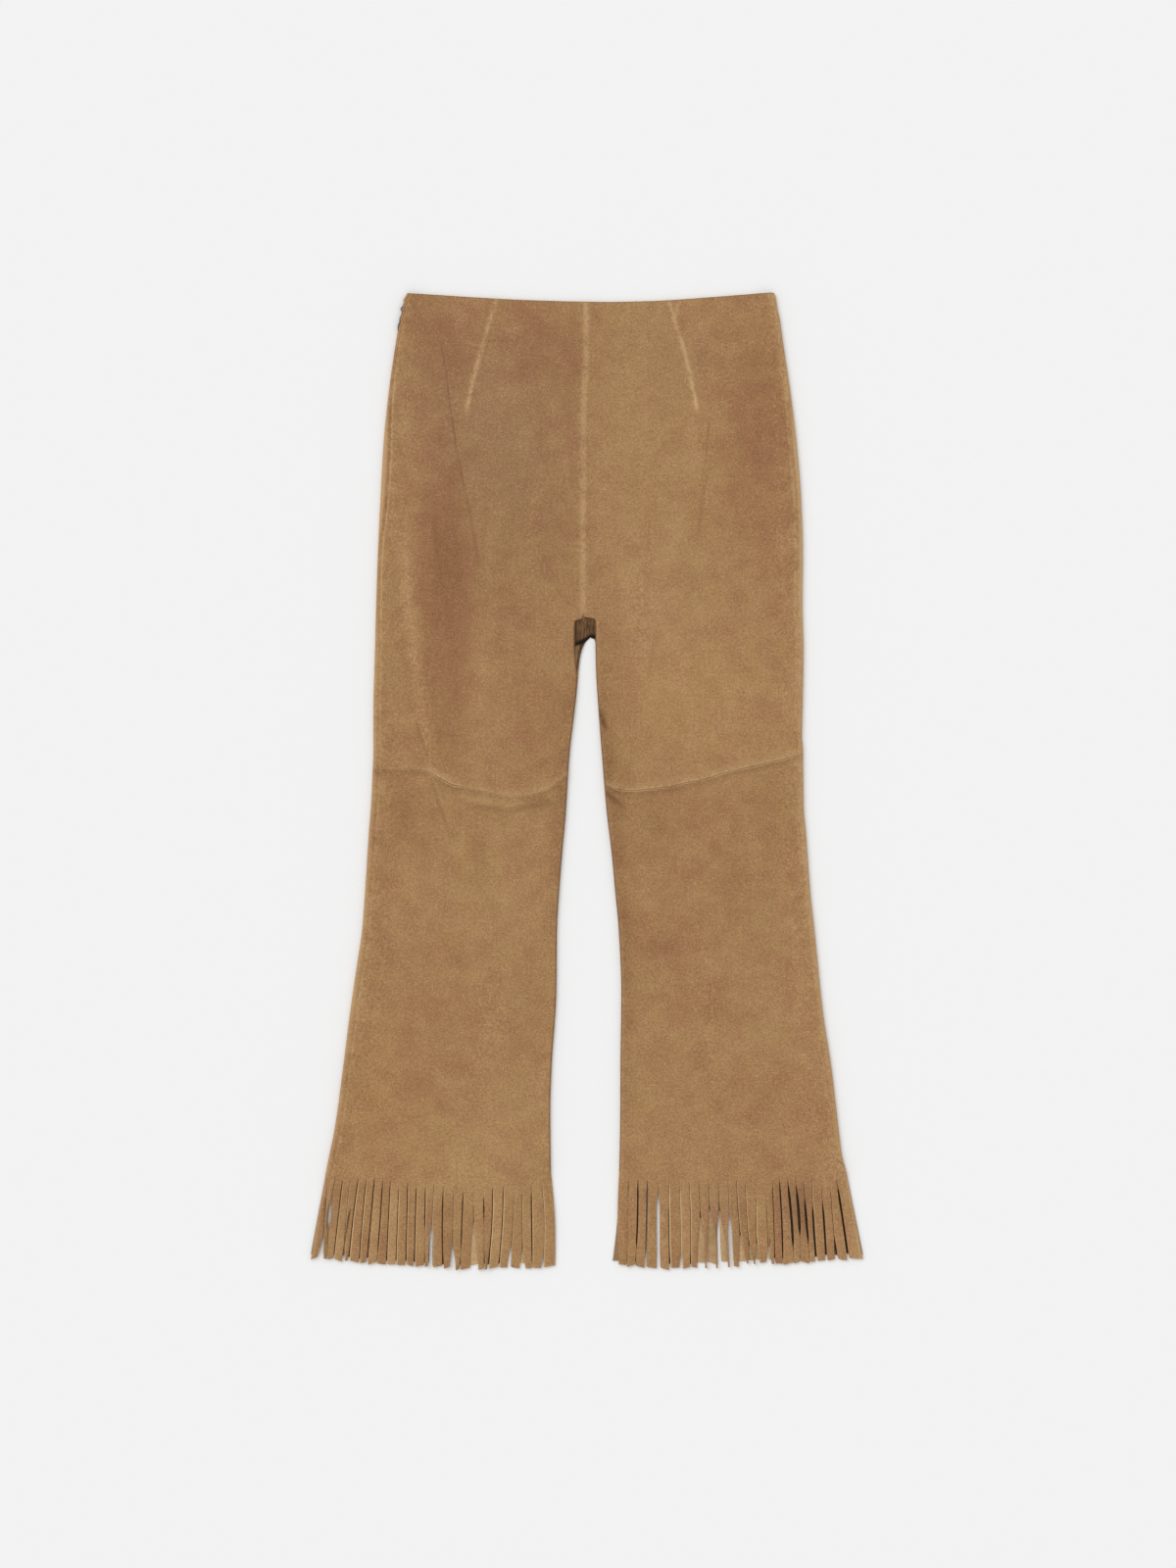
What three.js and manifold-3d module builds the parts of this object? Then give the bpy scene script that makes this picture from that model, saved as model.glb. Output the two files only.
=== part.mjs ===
// Cropped, flared suede trousers with a fringe cut at each hem, laid flat on a surface with the front up.
// Millimetres: X runs across the garment, Y from the fringe up to the waist, Z up from the surface.
// Left and right are the wearer's, so the right leg lies at negative X.
// Places along the garment are given as a drop: how far below the highest point of the waist they lie.
import * as THREE from "three";
import { mergeVertices } from "three/addons/utils/BufferGeometryUtils.js";
import Module from "manifold-3d";

const wasm = await Module();
wasm.setup();

const { clamp, smoothstep, lerp, degToRad } = THREE.MathUtils;

// Driving sizes
const LENGTH = 958; // highest corner of the waist to the lowest strand tip
const WALL = 1.2; // thickness of the suede
const SEAM_GAP = 0.3; // between two pieces at a seam
const LAYER_GAP = 0.5; // between the back and the front that lies on it
const REST_HEIGHT = WALL + LAYER_GAP + WALL; // top of the front where it lies on the back

// Edges and seams
const FOLD_HEIGHT = 5.2; // the side fold, outside
const SIDE_WRAP = 6; // how far the back comes round the fold on to the front
const SIDE_RISE = 22; // width of the front that climbs to the side seam
const EDGE_TURN = 3.3; // length of wall that turns in at an inner leg
const TURN_SHARES = [1, 2 / 3, 1 / 3, 0];
const FULL_TURN = { front: degToRad(90), back: degToRad(84) };
const LEAST_BEND = 1e-4;
const LEG_EDGE_RISE = 1.5; // the front beside an inner leg
const CENTRE_RISE = 0.8; // the front beside the centre seam
const EDGE_RISE_WIDTH = 8;
const SEAM_RISE = 0.6; // the front beside a knee seam
const SEAM_RISE_WIDTH = 6;
const DART_RISE = 0.9;
const DART_HALF_WIDTH = 2.6;
const DART_END = 118; // drop at which a dart has run out

// Levels along a leg
const WAIST_DIP = 8.6; // drop of the waist at the centre
const RIGHT_CORNER_DROP = 2; // the right waist corner lies this much lower than the left one
const WAIST_HALF_WIDTH = 181;
const WAIST_BLEND = 60;
const KNEE = 475;
const KNEE_BLEND = 75;
const HEM_BLEND = 75;
const STRIP = 10; // height of the fringe's backing strip
const HEM = 862; // level at which the lower pieces end

// Fork: how far down the wall changes from lying flat at the centre seam to turning in at the inner leg
const FRONT_FORK = { from: 315, to: 330 };
const BACK_FORK = { from: 337, to: 352 };

// Side folds of the outline
const SIDE_FOLD = [
  { drop: 0, right: -176.5, left: 184.5 },
  { drop: 15, right: -181.5, left: 187.5 },
  { drop: 45, right: -186.5, left: 192.5 },
  { drop: 88, right: -192, left: 198.5 },
  { drop: 146, right: -198.5, left: 206.5 },
  { drop: 204, right: -201.5, left: 210 },
  { drop: 261, right: -204.5, left: 212 },
  { drop: 338, right: -206.5, left: 213 },
  { drop: 415, right: -208.5, left: 212.5 },
  { drop: 475, right: -210, left: 213 },
  { drop: 530, right: -213, left: 215 },
  { drop: 588, right: -217, left: 220 },
  { drop: 645, right: -222.5, left: 225.5 },
  { drop: 703, right: -230.5, left: 231.5 },
  { drop: 760, right: -238, left: 241 },
  { drop: 818, right: -246.5, left: 247 },
  { drop: 876, right: -257, left: 258 },
  { drop: 940, right: -268, left: 269 },
];

// Inner edges: the centre seams down to the fork, and the inner legs below it
const INNER_EDGE = [
  { drop: 0, frontRight: 0, frontLeft: 0, backRight: 0, backLeft: 0 },
  { drop: 30, frontRight: 0, frontLeft: 0, backRight: 0, backLeft: 0 },
  { drop: 155, frontRight: -3.3, frontLeft: -3.3, backRight: -3.3, backLeft: -3.3 },
  { drop: 312, frontRight: -3.3, frontLeft: -3.3, backRight: -3.3, backLeft: -3.3 },
  { drop: 316, frontRight: -3.6, frontLeft: -2.2, backRight: -3.2, backLeft: -3.2 },
  { drop: 320, frontRight: -6, frontLeft: 5.4, backRight: -3, backLeft: -3 },
  { drop: 325, frontRight: -10.4, frontLeft: 8.5, backRight: -2.2, backLeft: -2.2 },
  { drop: 332, frontRight: -11.3, frontLeft: 8.9, backRight: 0.6, backLeft: 0.6 },
  { drop: 337, frontRight: -11.3, frontLeft: 9, backRight: 2.6, backLeft: 2.9 },
  { drop: 340, frontRight: -11.3, frontLeft: 9, backRight: 2.2, backLeft: 7 },
  { drop: 344, frontRight: -11.3, frontLeft: 9, backRight: -1.2, backLeft: 9 },
  { drop: 350, frontRight: -11.2, frontLeft: 9.1, backRight: -4.9, backLeft: 9.2 },
  { drop: 357, frontRight: -10.9, frontLeft: 9.3, backRight: -6.8, backLeft: 9.3 },
  { drop: 376, frontRight: -9.2, frontLeft: 9.6, backRight: -8.7, backLeft: 9.6 },
  { drop: 415, frontRight: -11.5, frontLeft: 12, backRight: -11.5, backLeft: 12 },
  { drop: 453, frontRight: -16, frontLeft: 15, backRight: -16, backLeft: 15 },
  { drop: 511, frontRight: -19.5, frontLeft: 20.2, backRight: -19.5, backLeft: 20.2 },
  { drop: 549, frontRight: -23, frontLeft: 25, backRight: -23, backLeft: 25 },
  { drop: 588, frontRight: -26.5, frontLeft: 28, backRight: -26.5, backLeft: 28 },
  { drop: 626, frontRight: -28.8, frontLeft: 31.7, backRight: -28.8, backLeft: 31.7 },
  { drop: 684, frontRight: -28.8, frontLeft: 33.6, backRight: -28.8, backLeft: 33.6 },
  { drop: 760, frontRight: -33.6, frontLeft: 32.6, backRight: -33.6, backLeft: 32.6 },
  { drop: 876, frontRight: -34.6, frontLeft: 30.7, backRight: -34.6, backLeft: 30.7 },
];

// The dart's line, carried on down the middle of the leg as a grain line
const DART_LINE = [
  { drop: 7, right: -85.5, left: 85.5 },
  { drop: 50, right: -98, left: 98 },
  { drop: 112, right: -115, left: 108.5 },
  { drop: 220, right: -118, left: 113 },
  { drop: 475, right: -118, left: 116 },
  { drop: 870, right: -146, left: 145 },
];

const KNEE_SEAM = [
  { x: -213, drop: 467 },
  { x: -158, drop: 468.5 },
  { x: -128.5, drop: 483 },
  { x: -102, drop: 488.5 },
  { x: -75, drop: 493.5 },
  { x: -55.5, drop: 492.5 },
  { x: -36.5, drop: 486 },
  { x: -16.5, drop: 472.5 },
  { x: 16.5, drop: 481 },
  { x: 28, drop: 486 },
  { x: 44, drop: 488.5 },
  { x: 65, drop: 486.5 },
  { x: 114, drop: 477 },
  { x: 141, drop: 469.5 },
  { x: 195, drop: 457 },
  { x: 215, drop: 451.5 },
];

// Where the cuts of the fringe start and where its strands end
const FRINGE = [
  { x: -262, root: 866, tip: 947 },
  { x: -200, root: 866.5, tip: 947.5 },
  { x: -175, root: 873, tip: 951 },
  { x: -147, root: 881, tip: 954 },
  { x: -101, root: 887, tip: 955 },
  { x: -60, root: 878.5, tip: 955.5 },
  { x: -35, root: 877.5, tip: 955.5 },
  { x: 31, root: 868.5, tip: 955 },
  { x: 60, root: 873, tip: 955 },
  { x: 95, root: 874.5, tip: 955 },
  { x: 130, root: 870, tip: 953.5 },
  { x: 195, root: 867, tip: 948 },
  { x: 222, root: 871.5, tip: 947 },
  { x: 262, root: 869, tip: 947 },
];

// Soft folds of the front: ridges have a positive height, troughs a negative one
const FOLDS = [
  { fromX: -176, fromDrop: 235, toX: -146, toDrop: 505, height: 1.5, width: 9 },
  { fromX: -158, fromDrop: 250, toX: -152, toDrop: 470, height: -0.4, width: 8 },
  { fromX: -190, fromDrop: 120, toX: -184, toDrop: 400, height: 0.9, width: 8 },
  { fromX: -140, fromDrop: 25, toX: -123, toDrop: 215, height: 0.8, width: 10 },
  { fromX: -60, fromDrop: 150, toX: -40, toDrop: 330, height: 0.6, width: 16 },
  { fromX: -75, fromDrop: 506, toX: -26, toDrop: 492, height: 0.8, width: 7 },
  { fromX: -195, fromDrop: 560, toX: -225, toDrop: 830, height: 0.9, width: 13 },
  { fromX: -90, fromDrop: 590, toX: -100, toDrop: 850, height: 0.7, width: 18 },
  { fromX: 110, fromDrop: 90, toX: 122, toDrop: 240, height: 0.7, width: 10 },
  { fromX: 190, fromDrop: 90, toX: 198, toDrop: 330, height: 0.8, width: 8 },
  { fromX: 60, fromDrop: 200, toX: 52, toDrop: 400, height: 0.7, width: 15 },
  { fromX: 24, fromDrop: 486, toX: 66, toDrop: 506, height: 0.8, width: 7 },
  { fromX: 150, fromDrop: 330, toX: 158, toDrop: 470, height: 0.6, width: 14 },
  { fromX: 112, fromDrop: 580, toX: 128, toDrop: 850, height: 0.8, width: 17 },
  { fromX: 205, fromDrop: 600, toX: 226, toDrop: 830, height: 0.7, width: 12 },
];

// Fringe strands
const STRAND_COUNT = { right: 26, left: 25 };
const STRAND_WALL = 1;
const STRAND_SLIT = 0.5; // left open between two strands at their roots
const STRAND_TIP_SHARE = 0.74; // width of a strand's tip as a share of its pitch
const OUTER_NARROWING = 0.28; // strands get narrower towards the side fold by this share
const PITCH_SWING = 0.06;
const STRAND_ROOT_DEPTH = 4; // of the strand inside its strip
const OUTER_LEAN = 14; // of the strand beside the side fold, at its tip
const INNER_LEAN = -2.5;
const TIP_SWING = 2.4; // unevenness of the tips
const STRAND_RINGS = [0, 0.28, 0.64, 1];
const FRINGE_LAYER = {
  front: { rest: 4.1, twist: degToRad(11), phase: 0.4 },
  back: { rest: 1.25, twist: degToRad(6), phase: 2.1 },
};

// Concealed zip: its tape lies under the right side seam
const ZIP = { from: 9, to: 190, near: 8.4, far: 2.8, wall: 1 };
const ZIP_CLEARANCE = 0.3;

// Levels of the rows of each piece, closest where the fork changes them
const FRONT_UPPER_LEVELS = [
  0, 28, 56, 84, 112, 135, 165, 200, 235, 270, 300, 315, 320, 325, 332, 357, 385, 415, 440, 457, KNEE,
];
const BACK_UPPER_LEVELS = [
  0, 28, 56, 84, 112, 135, 165, 200, 235, 270, 300, 325, 337, 340, 344, 350, 357, 376, 405, 440, 457, KNEE,
];
const LOWER_LEVELS = [KNEE, 492, 515, 550, 590, 630, 670, 710, 750, 790, 828, HEM];
const ZIP_ROWS = 7;

const RIGHT = { name: "right", side: -1 };
const LEFT = { name: "left", side: 1 };

// Smooth curve through the rows of a table, which never swings past a row: a monotone cubic.
function curveThrough(rows, from, to) {
  const at = rows.map((row) => row[from]);
  const value = rows.map((row) => row[to]);
  const slope = at.slice(1).map((end, i) => (value[i + 1] - value[i]) / (end - at[i]));
  const tangent = at.map((_, i) => {
    const before = slope[Math.max(i - 1, 0)];
    const after = slope[Math.min(i, slope.length - 1)];
    return before * after > 0 ? (2 * before * after) / (before + after) : 0;
  });
  return (where) => {
    const held = clamp(where, at[0], at[at.length - 1]);
    let i = 0;
    while (i < slope.length - 1 && held > at[i + 1]) i += 1;
    const span = at[i + 1] - at[i];
    const t = (held - at[i]) / span;
    const start = value[i] * (1 + 2 * t) * (1 - t) ** 2 + tangent[i] * span * t * (1 - t) ** 2;
    const end = value[i + 1] * t * t * (3 - 2 * t) + tangent[i + 1] * span * t * t * (t - 1);
    return start + end;
  };
}

const sideFold = {
  right: curveThrough(SIDE_FOLD, "drop", "right"),
  left: curveThrough(SIDE_FOLD, "drop", "left"),
};
const innerEdge = {
  front: {
    right: curveThrough(INNER_EDGE, "drop", "frontRight"),
    left: curveThrough(INNER_EDGE, "drop", "frontLeft"),
  },
  back: {
    right: curveThrough(INNER_EDGE, "drop", "backRight"),
    left: curveThrough(INNER_EDGE, "drop", "backLeft"),
  },
};
const dartLine = {
  right: curveThrough(DART_LINE, "drop", "right"),
  left: curveThrough(DART_LINE, "drop", "left"),
};
const kneeSeam = curveThrough(KNEE_SEAM, "x", "drop");
const fringeRoot = curveThrough(FRINGE, "x", "root");
const fringeTip = curveThrough(FRINGE, "x", "tip");

const bell = (distance, width) => Math.exp(-((distance / width) ** 2));
const heightAlong = (drop) => LENGTH / 2 - drop;

// The waist: a shallow arc, lowest at the centre seam.
function waistDrop(x) {
  const corner = x < 0 ? RIGHT_CORNER_DROP : 0;
  return corner + (WAIST_DIP - corner) * (1 - Math.min(1, (x / WAIST_HALF_WIDTH) ** 2));
}

// One fold: a bell across its line, fading to nothing at both ends of it.
function foldHeight(fold, x, drop) {
  const alongX = fold.toX - fold.fromX;
  const alongDrop = fold.toDrop - fold.fromDrop;
  const span = Math.hypot(alongX, alongDrop);
  const reach = ((x - fold.fromX) * alongX + (drop - fold.fromDrop) * alongDrop) / span;
  const across = ((x - fold.fromX) * alongDrop - (drop - fold.fromDrop) * alongX) / span;
  const share = clamp(reach / span, 0, 1);
  return fold.height * Math.sin(Math.PI * share) * bell(across, fold.width);
}

// Top of the front's suede: it lies on the back, and climbs to the side seam, the seams, the dart and the folds.
// The place is given in the leg's own direction: out is the distance from the centre line towards the side fold.
function frontTop(leg, out, drop) {
  const x = leg.side * out;
  const inner = leg.side * innerEdge.front[leg.name](drop);
  const seam = leg.side * sideFold[leg.name](drop) - SIDE_WRAP;
  const fork = smoothstep(drop, FRONT_FORK.from, FRONT_FORK.to);
  const innerRise = lerp(CENTRE_RISE, LEG_EDGE_RISE, fork) * bell(out - inner, EDGE_RISE_WIDTH);
  const sideRise = (FOLD_HEIGHT - REST_HEIGHT) * smoothstep(out, seam - SIDE_RISE, seam);
  const dartShare = 1 - smoothstep(drop, DART_END - 30, DART_END);
  const dart = DART_RISE * dartShare * bell(out - leg.side * dartLine[leg.name](drop), DART_HALF_WIDTH);
  const knee = SEAM_RISE * bell(drop - kneeSeam(x), SEAM_RISE_WIDTH);
  const folds = FOLDS.reduce((sum, fold) => sum + foldHeight(fold, x, drop), 0);
  const away = 1 - smoothstep(out, seam - SIDE_RISE / 2, seam);
  return Math.max(REST_HEIGHT, REST_HEIGHT + innerRise + sideRise + (dart + knee + folds) * away);
}

// The turned-in end of a wall, as steps from its flat part: it bends evenly through the given angle.
function turnedEnd(angle) {
  const whole = Math.max(angle, LEAST_BEND);
  const radius = EDGE_TURN / whole;
  return TURN_SHARES.map((share) => {
    const bend = whole * share;
    return { out: -radius * Math.sin(bend), up: radius * (1 - Math.cos(bend)), bend };
  });
}

// Evenly spaced places between two, without the two themselves.
function between(start, end, count) {
  return Array.from({ length: count }, (_, i) => lerp(start, end, (i + 1) / (count + 1)));
}

// Section of a front piece at one drop, from the inner edge out to the side seam, as points of its upper face.
function frontSection(leg, drop) {
  const end = turnedEnd(FULL_TURN.front * smoothstep(drop, FRONT_FORK.from, FRONT_FORK.to));
  const edge = leg.side * innerEdge.front[leg.name](drop) + SEAM_GAP / 2;
  const flatStart = edge - end[0].out;
  const dart = leg.side * dartLine[leg.name](drop);
  const seam = leg.side * sideFold[leg.name](drop) - SIDE_WRAP - SEAM_GAP;
  const flat = [
    ...between(flatStart, dart - DART_HALF_WIDTH, 5),
    dart - DART_HALF_WIDTH,
    dart,
    dart + DART_HALF_WIDTH,
    ...between(dart + DART_HALF_WIDTH, seam - SIDE_RISE, 3),
    seam - SIDE_RISE,
    seam - SIDE_RISE * 0.7,
    seam - SIDE_RISE * 0.35,
    seam,
  ];
  const top = frontTop(leg, flatStart, drop);
  return [
    ...end.map((step) => ({ out: flatStart + step.out, up: top - step.up, bend: step.bend })),
    ...flat.map((out) => ({ out, up: frontTop(leg, out, drop) })),
  ];
}

// Section of a back piece at one drop: flat on the surface, then round the side fold to the side seam.
function backSection(leg, drop) {
  const end = turnedEnd(FULL_TURN.back * smoothstep(drop, BACK_FORK.from, BACK_FORK.to));
  const edge = leg.side * innerEdge.back[leg.name](drop) + SEAM_GAP / 2;
  const flatStart = edge - end[0].out;
  const fold = leg.side * sideFold[leg.name](drop);
  const radius = FOLD_HEIGHT / 2;
  const round = between(0, Math.PI, 5).map((turn) => ({
    out: fold - radius + radius * Math.sin(turn),
    up: radius - radius * Math.cos(turn),
  }));
  return [
    ...end.map((step) => ({ out: flatStart + step.out, up: step.up, bend: step.bend })),
    ...between(flatStart, fold - radius, 4).map((out) => ({ out, up: 0 })),
    { out: fold - radius, up: 0 },
    ...round,
    { out: fold - radius, up: FOLD_HEIGHT },
    { out: fold - SIDE_WRAP, up: FOLD_HEIGHT },
  ];
}

// Unit direction out of the cloth at one point of a section; the front faces up and the back faces down.
function outward(section, i, facing) {
  const { bend } = section[i];
  if (bend !== undefined) return { out: -Math.sin(bend), up: facing * Math.cos(bend) };
  const before = section[Math.max(i - 1, 0)];
  const after = section[Math.min(i + 1, section.length - 1)];
  const length = Math.hypot(after.out - before.out, after.up - before.up);
  return {
    out: (-facing * (after.up - before.up)) / length,
    up: (facing * (after.out - before.out)) / length,
  };
}

// A closed wall between two grids of points with the same number of columns.
function closedWall(outer, inner, columns) {
  const rows = outer.length / columns;
  const count = outer.length;
  const triangles = [];
  const quad = (a, b, c, d) => triangles.push([a, b, c], [a, c, d]);
  for (let row = 0; row + 1 < rows; row += 1) {
    for (let column = 0; column + 1 < columns; column += 1) {
      const a = row * columns + column;
      quad(a, a + 1, a + columns + 1, a + columns);
      quad(count + a, count + a + columns, count + a + columns + 1, count + a + 1);
    }
    const left = row * columns;
    const right = left + columns - 1;
    quad(left, left + columns, count + left + columns, count + left);
    quad(right, count + right, count + right + columns, right + columns);
  }
  for (let column = 0; column + 1 < columns; column += 1) {
    const first = column;
    const last = (rows - 1) * columns + column;
    quad(first, count + first, count + first + 1, first + 1);
    quad(last, last + 1, count + last + 1, count + last);
  }
  return geometryOf([...outer, ...inner], triangles);
}

// Geometry of a closed surface, with its faces turned outwards.
function geometryOf(points, triangles) {
  const [a, b, c] = [new THREE.Vector3(), new THREE.Vector3(), new THREE.Vector3()];
  let volume = 0;
  for (const triangle of triangles) {
    a.copy(points[triangle[0]]);
    b.copy(points[triangle[1]]);
    c.copy(points[triangle[2]]);
    volume += a.dot(b.cross(c));
  }
  const facing = volume > 0 ? triangles : triangles.map(([i, j, k]) => [i, k, j]);
  const geometry = new THREE.BufferGeometry().setFromPoints(points);
  geometry.setIndex(facing.flat());
  geometry.computeVertexNormals();
  return geometry;
}

// Drop of a row's points: rows follow the waist, the knee seam and the hem, and lie level between them.
function upperDrop(level, x) {
  const waist = waistDrop(x) * (1 - smoothstep(level, 0, WAIST_BLEND));
  const knee = (kneeSeam(x) - SEAM_GAP / 2 - KNEE) * smoothstep(level, KNEE - KNEE_BLEND, KNEE);
  return level + waist + knee;
}

function lowerDrop(level, x) {
  const knee = (kneeSeam(x) + SEAM_GAP / 2 - KNEE) * (1 - smoothstep(level, KNEE, KNEE + KNEE_BLEND));
  const hemDrop = fringeRoot(x) - STRIP - SEAM_GAP;
  return level + knee + (hemDrop - HEM) * smoothstep(level, HEM - HEM_BLEND, HEM);
}

// A panel: its section at every level, with each point moved down its row, and the wall's other face inside it.
function panel(leg, sectionAt, facing, levels, dropAt) {
  const outer = [];
  const inner = [];
  const columns = sectionAt(leg, levels[0]).length;
  for (const level of levels) {
    const plain = sectionAt(leg, level);
    for (let i = 0; i < columns; i += 1) {
      const drop = dropAt(level, leg.side * plain[i].out);
      const section = sectionAt(leg, drop);
      const point = section[i];
      const normal = outward(section, i, facing);
      outer.push(new THREE.Vector3(leg.side * point.out, heightAlong(drop), point.up));
      inner.push(
        new THREE.Vector3(
          leg.side * (point.out - WALL * normal.out),
          heightAlong(drop),
          point.up - WALL * normal.up,
        ),
      );
    }
  }
  return closedWall(outer, inner, columns);
}

const FACE_UP = 1;
const FACE_DOWN = -1;
const frontPanel = (leg, levels, dropAt) => panel(leg, frontSection, FACE_UP, levels, dropAt);
const backPanel = (leg, levels, dropAt) => panel(leg, backSection, FACE_DOWN, levels, dropAt);

// Outer face of a hem: the front's strip follows the front, the back's lies on the surface.
function stripTop(leg, layer, out, drop) {
  return layer === "front" ? frontTop(leg, out, drop) : WALL;
}

// Places across a hem: the edge, those of the panel's flat part above it, and the fold.
function stripPlaces(leg, layer) {
  const section = layer === "front" ? frontSection(leg, HEM) : backSection(leg, HEM);
  const flat = section.filter((point) => point.bend === undefined && (layer === "front" || point.up === 0));
  return [section[0].out, ...flat.map((point) => point.out), leg.side * sideFold[leg.name](HEM) - SEAM_GAP];
}

// The narrow backing strip, its lower edge on the line where the cuts start.
function backingStrip(leg, layer) {
  const places = stripPlaces(leg, layer);
  const top = [];
  const bottom = [];
  for (const above of [STRIP, 0]) {
    for (const out of places) {
      const x = leg.side * out;
      const drop = fringeRoot(x) - above;
      const up = stripTop(leg, layer, out, drop);
      top.push(new THREE.Vector3(x, heightAlong(drop), up));
      bottom.push(new THREE.Vector3(x, heightAlong(drop), up - WALL));
    }
  }
  return closedWall(top, bottom, places.length);
}

// Widths of the strands as shares of the hem, from the inner leg out: they narrow outwards and swing a little.
function strandPitches(count, phase) {
  const raw = Array.from({ length: count }, (_, i) => {
    const share = i / (count - 1);
    return 1 - OUTER_NARROWING * share + PITCH_SWING * Math.sin(2.4 * i + phase);
  });
  const total = raw.reduce((sum, width) => sum + width, 0);
  return raw.map((width) => width / total);
}

// One strand: four-sided rings carried down from inside the strip, leaning, tapering and turning about its length.
function strand(leg, layer, centre, pitch, index, share) {
  const style = FRINGE_LAYER[layer];
  const x = leg.side * centre;
  const root = fringeRoot(x) - STRAND_ROOT_DEPTH;
  const tip = fringeTip(x) + TIP_SWING * Math.sin(3.7 * index + style.phase);
  const rootUp = stripTop(leg, layer, centre, root) - WALL / 2;
  const lean = lerp(INNER_LEAN, 0, Math.min(1, share * 5)) + OUTER_LEAN * share ** 3;
  const points = [];
  for (const t of STRAND_RINGS) {
    const drop = lerp(root, tip, t);
    const out = centre + lean * t ** 1.5;
    const up = lerp(rootUp, style.rest, smoothstep(t, 0, 0.3));
    const half = lerp(pitch - STRAND_SLIT, pitch * STRAND_TIP_SHARE, t) / 2;
    const twist = style.twist * Math.sin(2.9 * index + style.phase) * smoothstep(t, 0.1, 1);
    for (const [across, over] of [[-1, -1], [1, -1], [1, 1], [-1, 1]]) {
      const width = across * half;
      const depth = (over * STRAND_WALL) / 2;
      points.push(
        new THREE.Vector3(
          leg.side * (out + width * Math.cos(twist) - depth * Math.sin(twist)),
          heightAlong(drop),
          up + width * Math.sin(twist) + depth * Math.cos(twist),
        ),
      );
    }
  }
  const sides = 4;
  const triangles = [];
  for (let ring = 0; ring + 1 < STRAND_RINGS.length; ring += 1) {
    for (let i = 0; i < sides; i += 1) {
      const a = ring * sides + i;
      const b = ring * sides + ((i + 1) % sides);
      triangles.push([a, b, b + sides], [a, b + sides, a + sides]);
    }
  }
  const last = (STRAND_RINGS.length - 1) * sides;
  triangles.push([0, 2, 1], [0, 3, 2], [last, last + 1, last + 2], [last, last + 2, last + 3]);
  return geometryOf(points, triangles);
}

// Turns a closed geometry into a solid that can be joined to others, and back.
function solidOf(geometry) {
  const plain = geometry.clone();
  plain.deleteAttribute("normal");
  const merged = mergeVertices(plain, 1e-4);
  return new wasm.Manifold(
    new wasm.Mesh({
      numProp: 3,
      vertProperties: new Float32Array(merged.attributes.position.array),
      triVerts: new Uint32Array(merged.index.array),
    }),
  );
}

function geometryOfSolid(solid) {
  const mesh = solid.getMesh();
  const geometry = new THREE.BufferGeometry();
  geometry.setAttribute("position", new THREE.BufferAttribute(mesh.vertProperties, 3));
  geometry.setIndex(new THREE.BufferAttribute(mesh.triVerts, 1));
  geometry.computeVertexNormals();
  return geometry;
}

// A hem's fringe: the backing strip with every strand's root fused into it.
function fringe(leg, layer) {
  const count = STRAND_COUNT[leg.name];
  const inner = leg.side * innerEdge[layer][leg.name](HEM);
  const width = leg.side * sideFold[leg.name](HEM) - inner;
  let solid = solidOf(backingStrip(leg, layer));
  let start = inner;
  strandPitches(count, FRINGE_LAYER[layer].phase).forEach((share, i) => {
    const pitch = share * width;
    solid = solid.add(solidOf(strand(leg, layer, start + pitch / 2, pitch, i, i / (count - 1))));
    start += pitch;
  });
  return geometryOfSolid(solid);
}

// Zip tape: a flat strip that follows the side fold, just under the seam.
function zipTape(leg) {
  const top = [];
  const bottom = [];
  const up = FOLD_HEIGHT - WALL - ZIP_CLEARANCE;
  for (let row = 0; row < ZIP_ROWS; row += 1) {
    const drop = lerp(ZIP.from, ZIP.to, row / (ZIP_ROWS - 1));
    const fold = leg.side * sideFold[leg.name](drop);
    for (const inset of [ZIP.near, ZIP.far]) {
      const x = leg.side * (fold - inset);
      top.push(new THREE.Vector3(x, heightAlong(drop), up));
      bottom.push(new THREE.Vector3(x, heightAlong(drop), up - ZIP.wall));
    }
  }
  return closedWall(top, bottom, 2);
}

const suede = (color) => new THREE.MeshStandardMaterial({ color, roughness: 0.95, metalness: 0 });
const COLOURS = { front: "#a07a55", back: "#9a7350", fringe: "#a5825b", zip: "#6d5f63" };

const trousers = new THREE.Group();

function add(name, geometry, material) {
  const mesh = new THREE.Mesh(geometry, material);
  mesh.name = name;
  trousers.add(mesh);
}

for (const leg of [RIGHT, LEFT]) {
  add(`front_${leg.name}_upper`, frontPanel(leg, FRONT_UPPER_LEVELS, upperDrop), suede(COLOURS.front));
  add(`front_${leg.name}_lower`, frontPanel(leg, LOWER_LEVELS, lowerDrop), suede(COLOURS.front));
  add(`back_${leg.name}_upper`, backPanel(leg, BACK_UPPER_LEVELS, upperDrop), suede(COLOURS.back));
  add(`back_${leg.name}_lower`, backPanel(leg, LOWER_LEVELS, lowerDrop), suede(COLOURS.back));
  add(`fringe_front_${leg.name}`, fringe(leg, "front"), suede(COLOURS.fringe));
  add(`fringe_back_${leg.name}`, fringe(leg, "back"), suede(COLOURS.fringe));
}
add("side_zip", zipTape(RIGHT), suede(COLOURS.zip));

// The origin is the middle of the footprint, on the surface.
const footprint = new THREE.Box3().setFromObject(trousers, true);
const middle = footprint.getCenter(new THREE.Vector3());
trousers.position.set(-middle.x, -middle.y, -footprint.min.z);

export default trousers;
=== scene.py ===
"""Cropped, flared suede trousers with a fringe cut at each hem, laid flat on a pale surface, the front up.

Every surface is worked out on a grid of two parameters, in millimetres, and put into a mesh in metres.
X runs across the garment, Y from the fringe up to the waist, Z up from the surface. Left and right are the
wearer's. A place along the garment is given as a drop: how far below the waist's highest point it lies.
"""
import math

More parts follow.
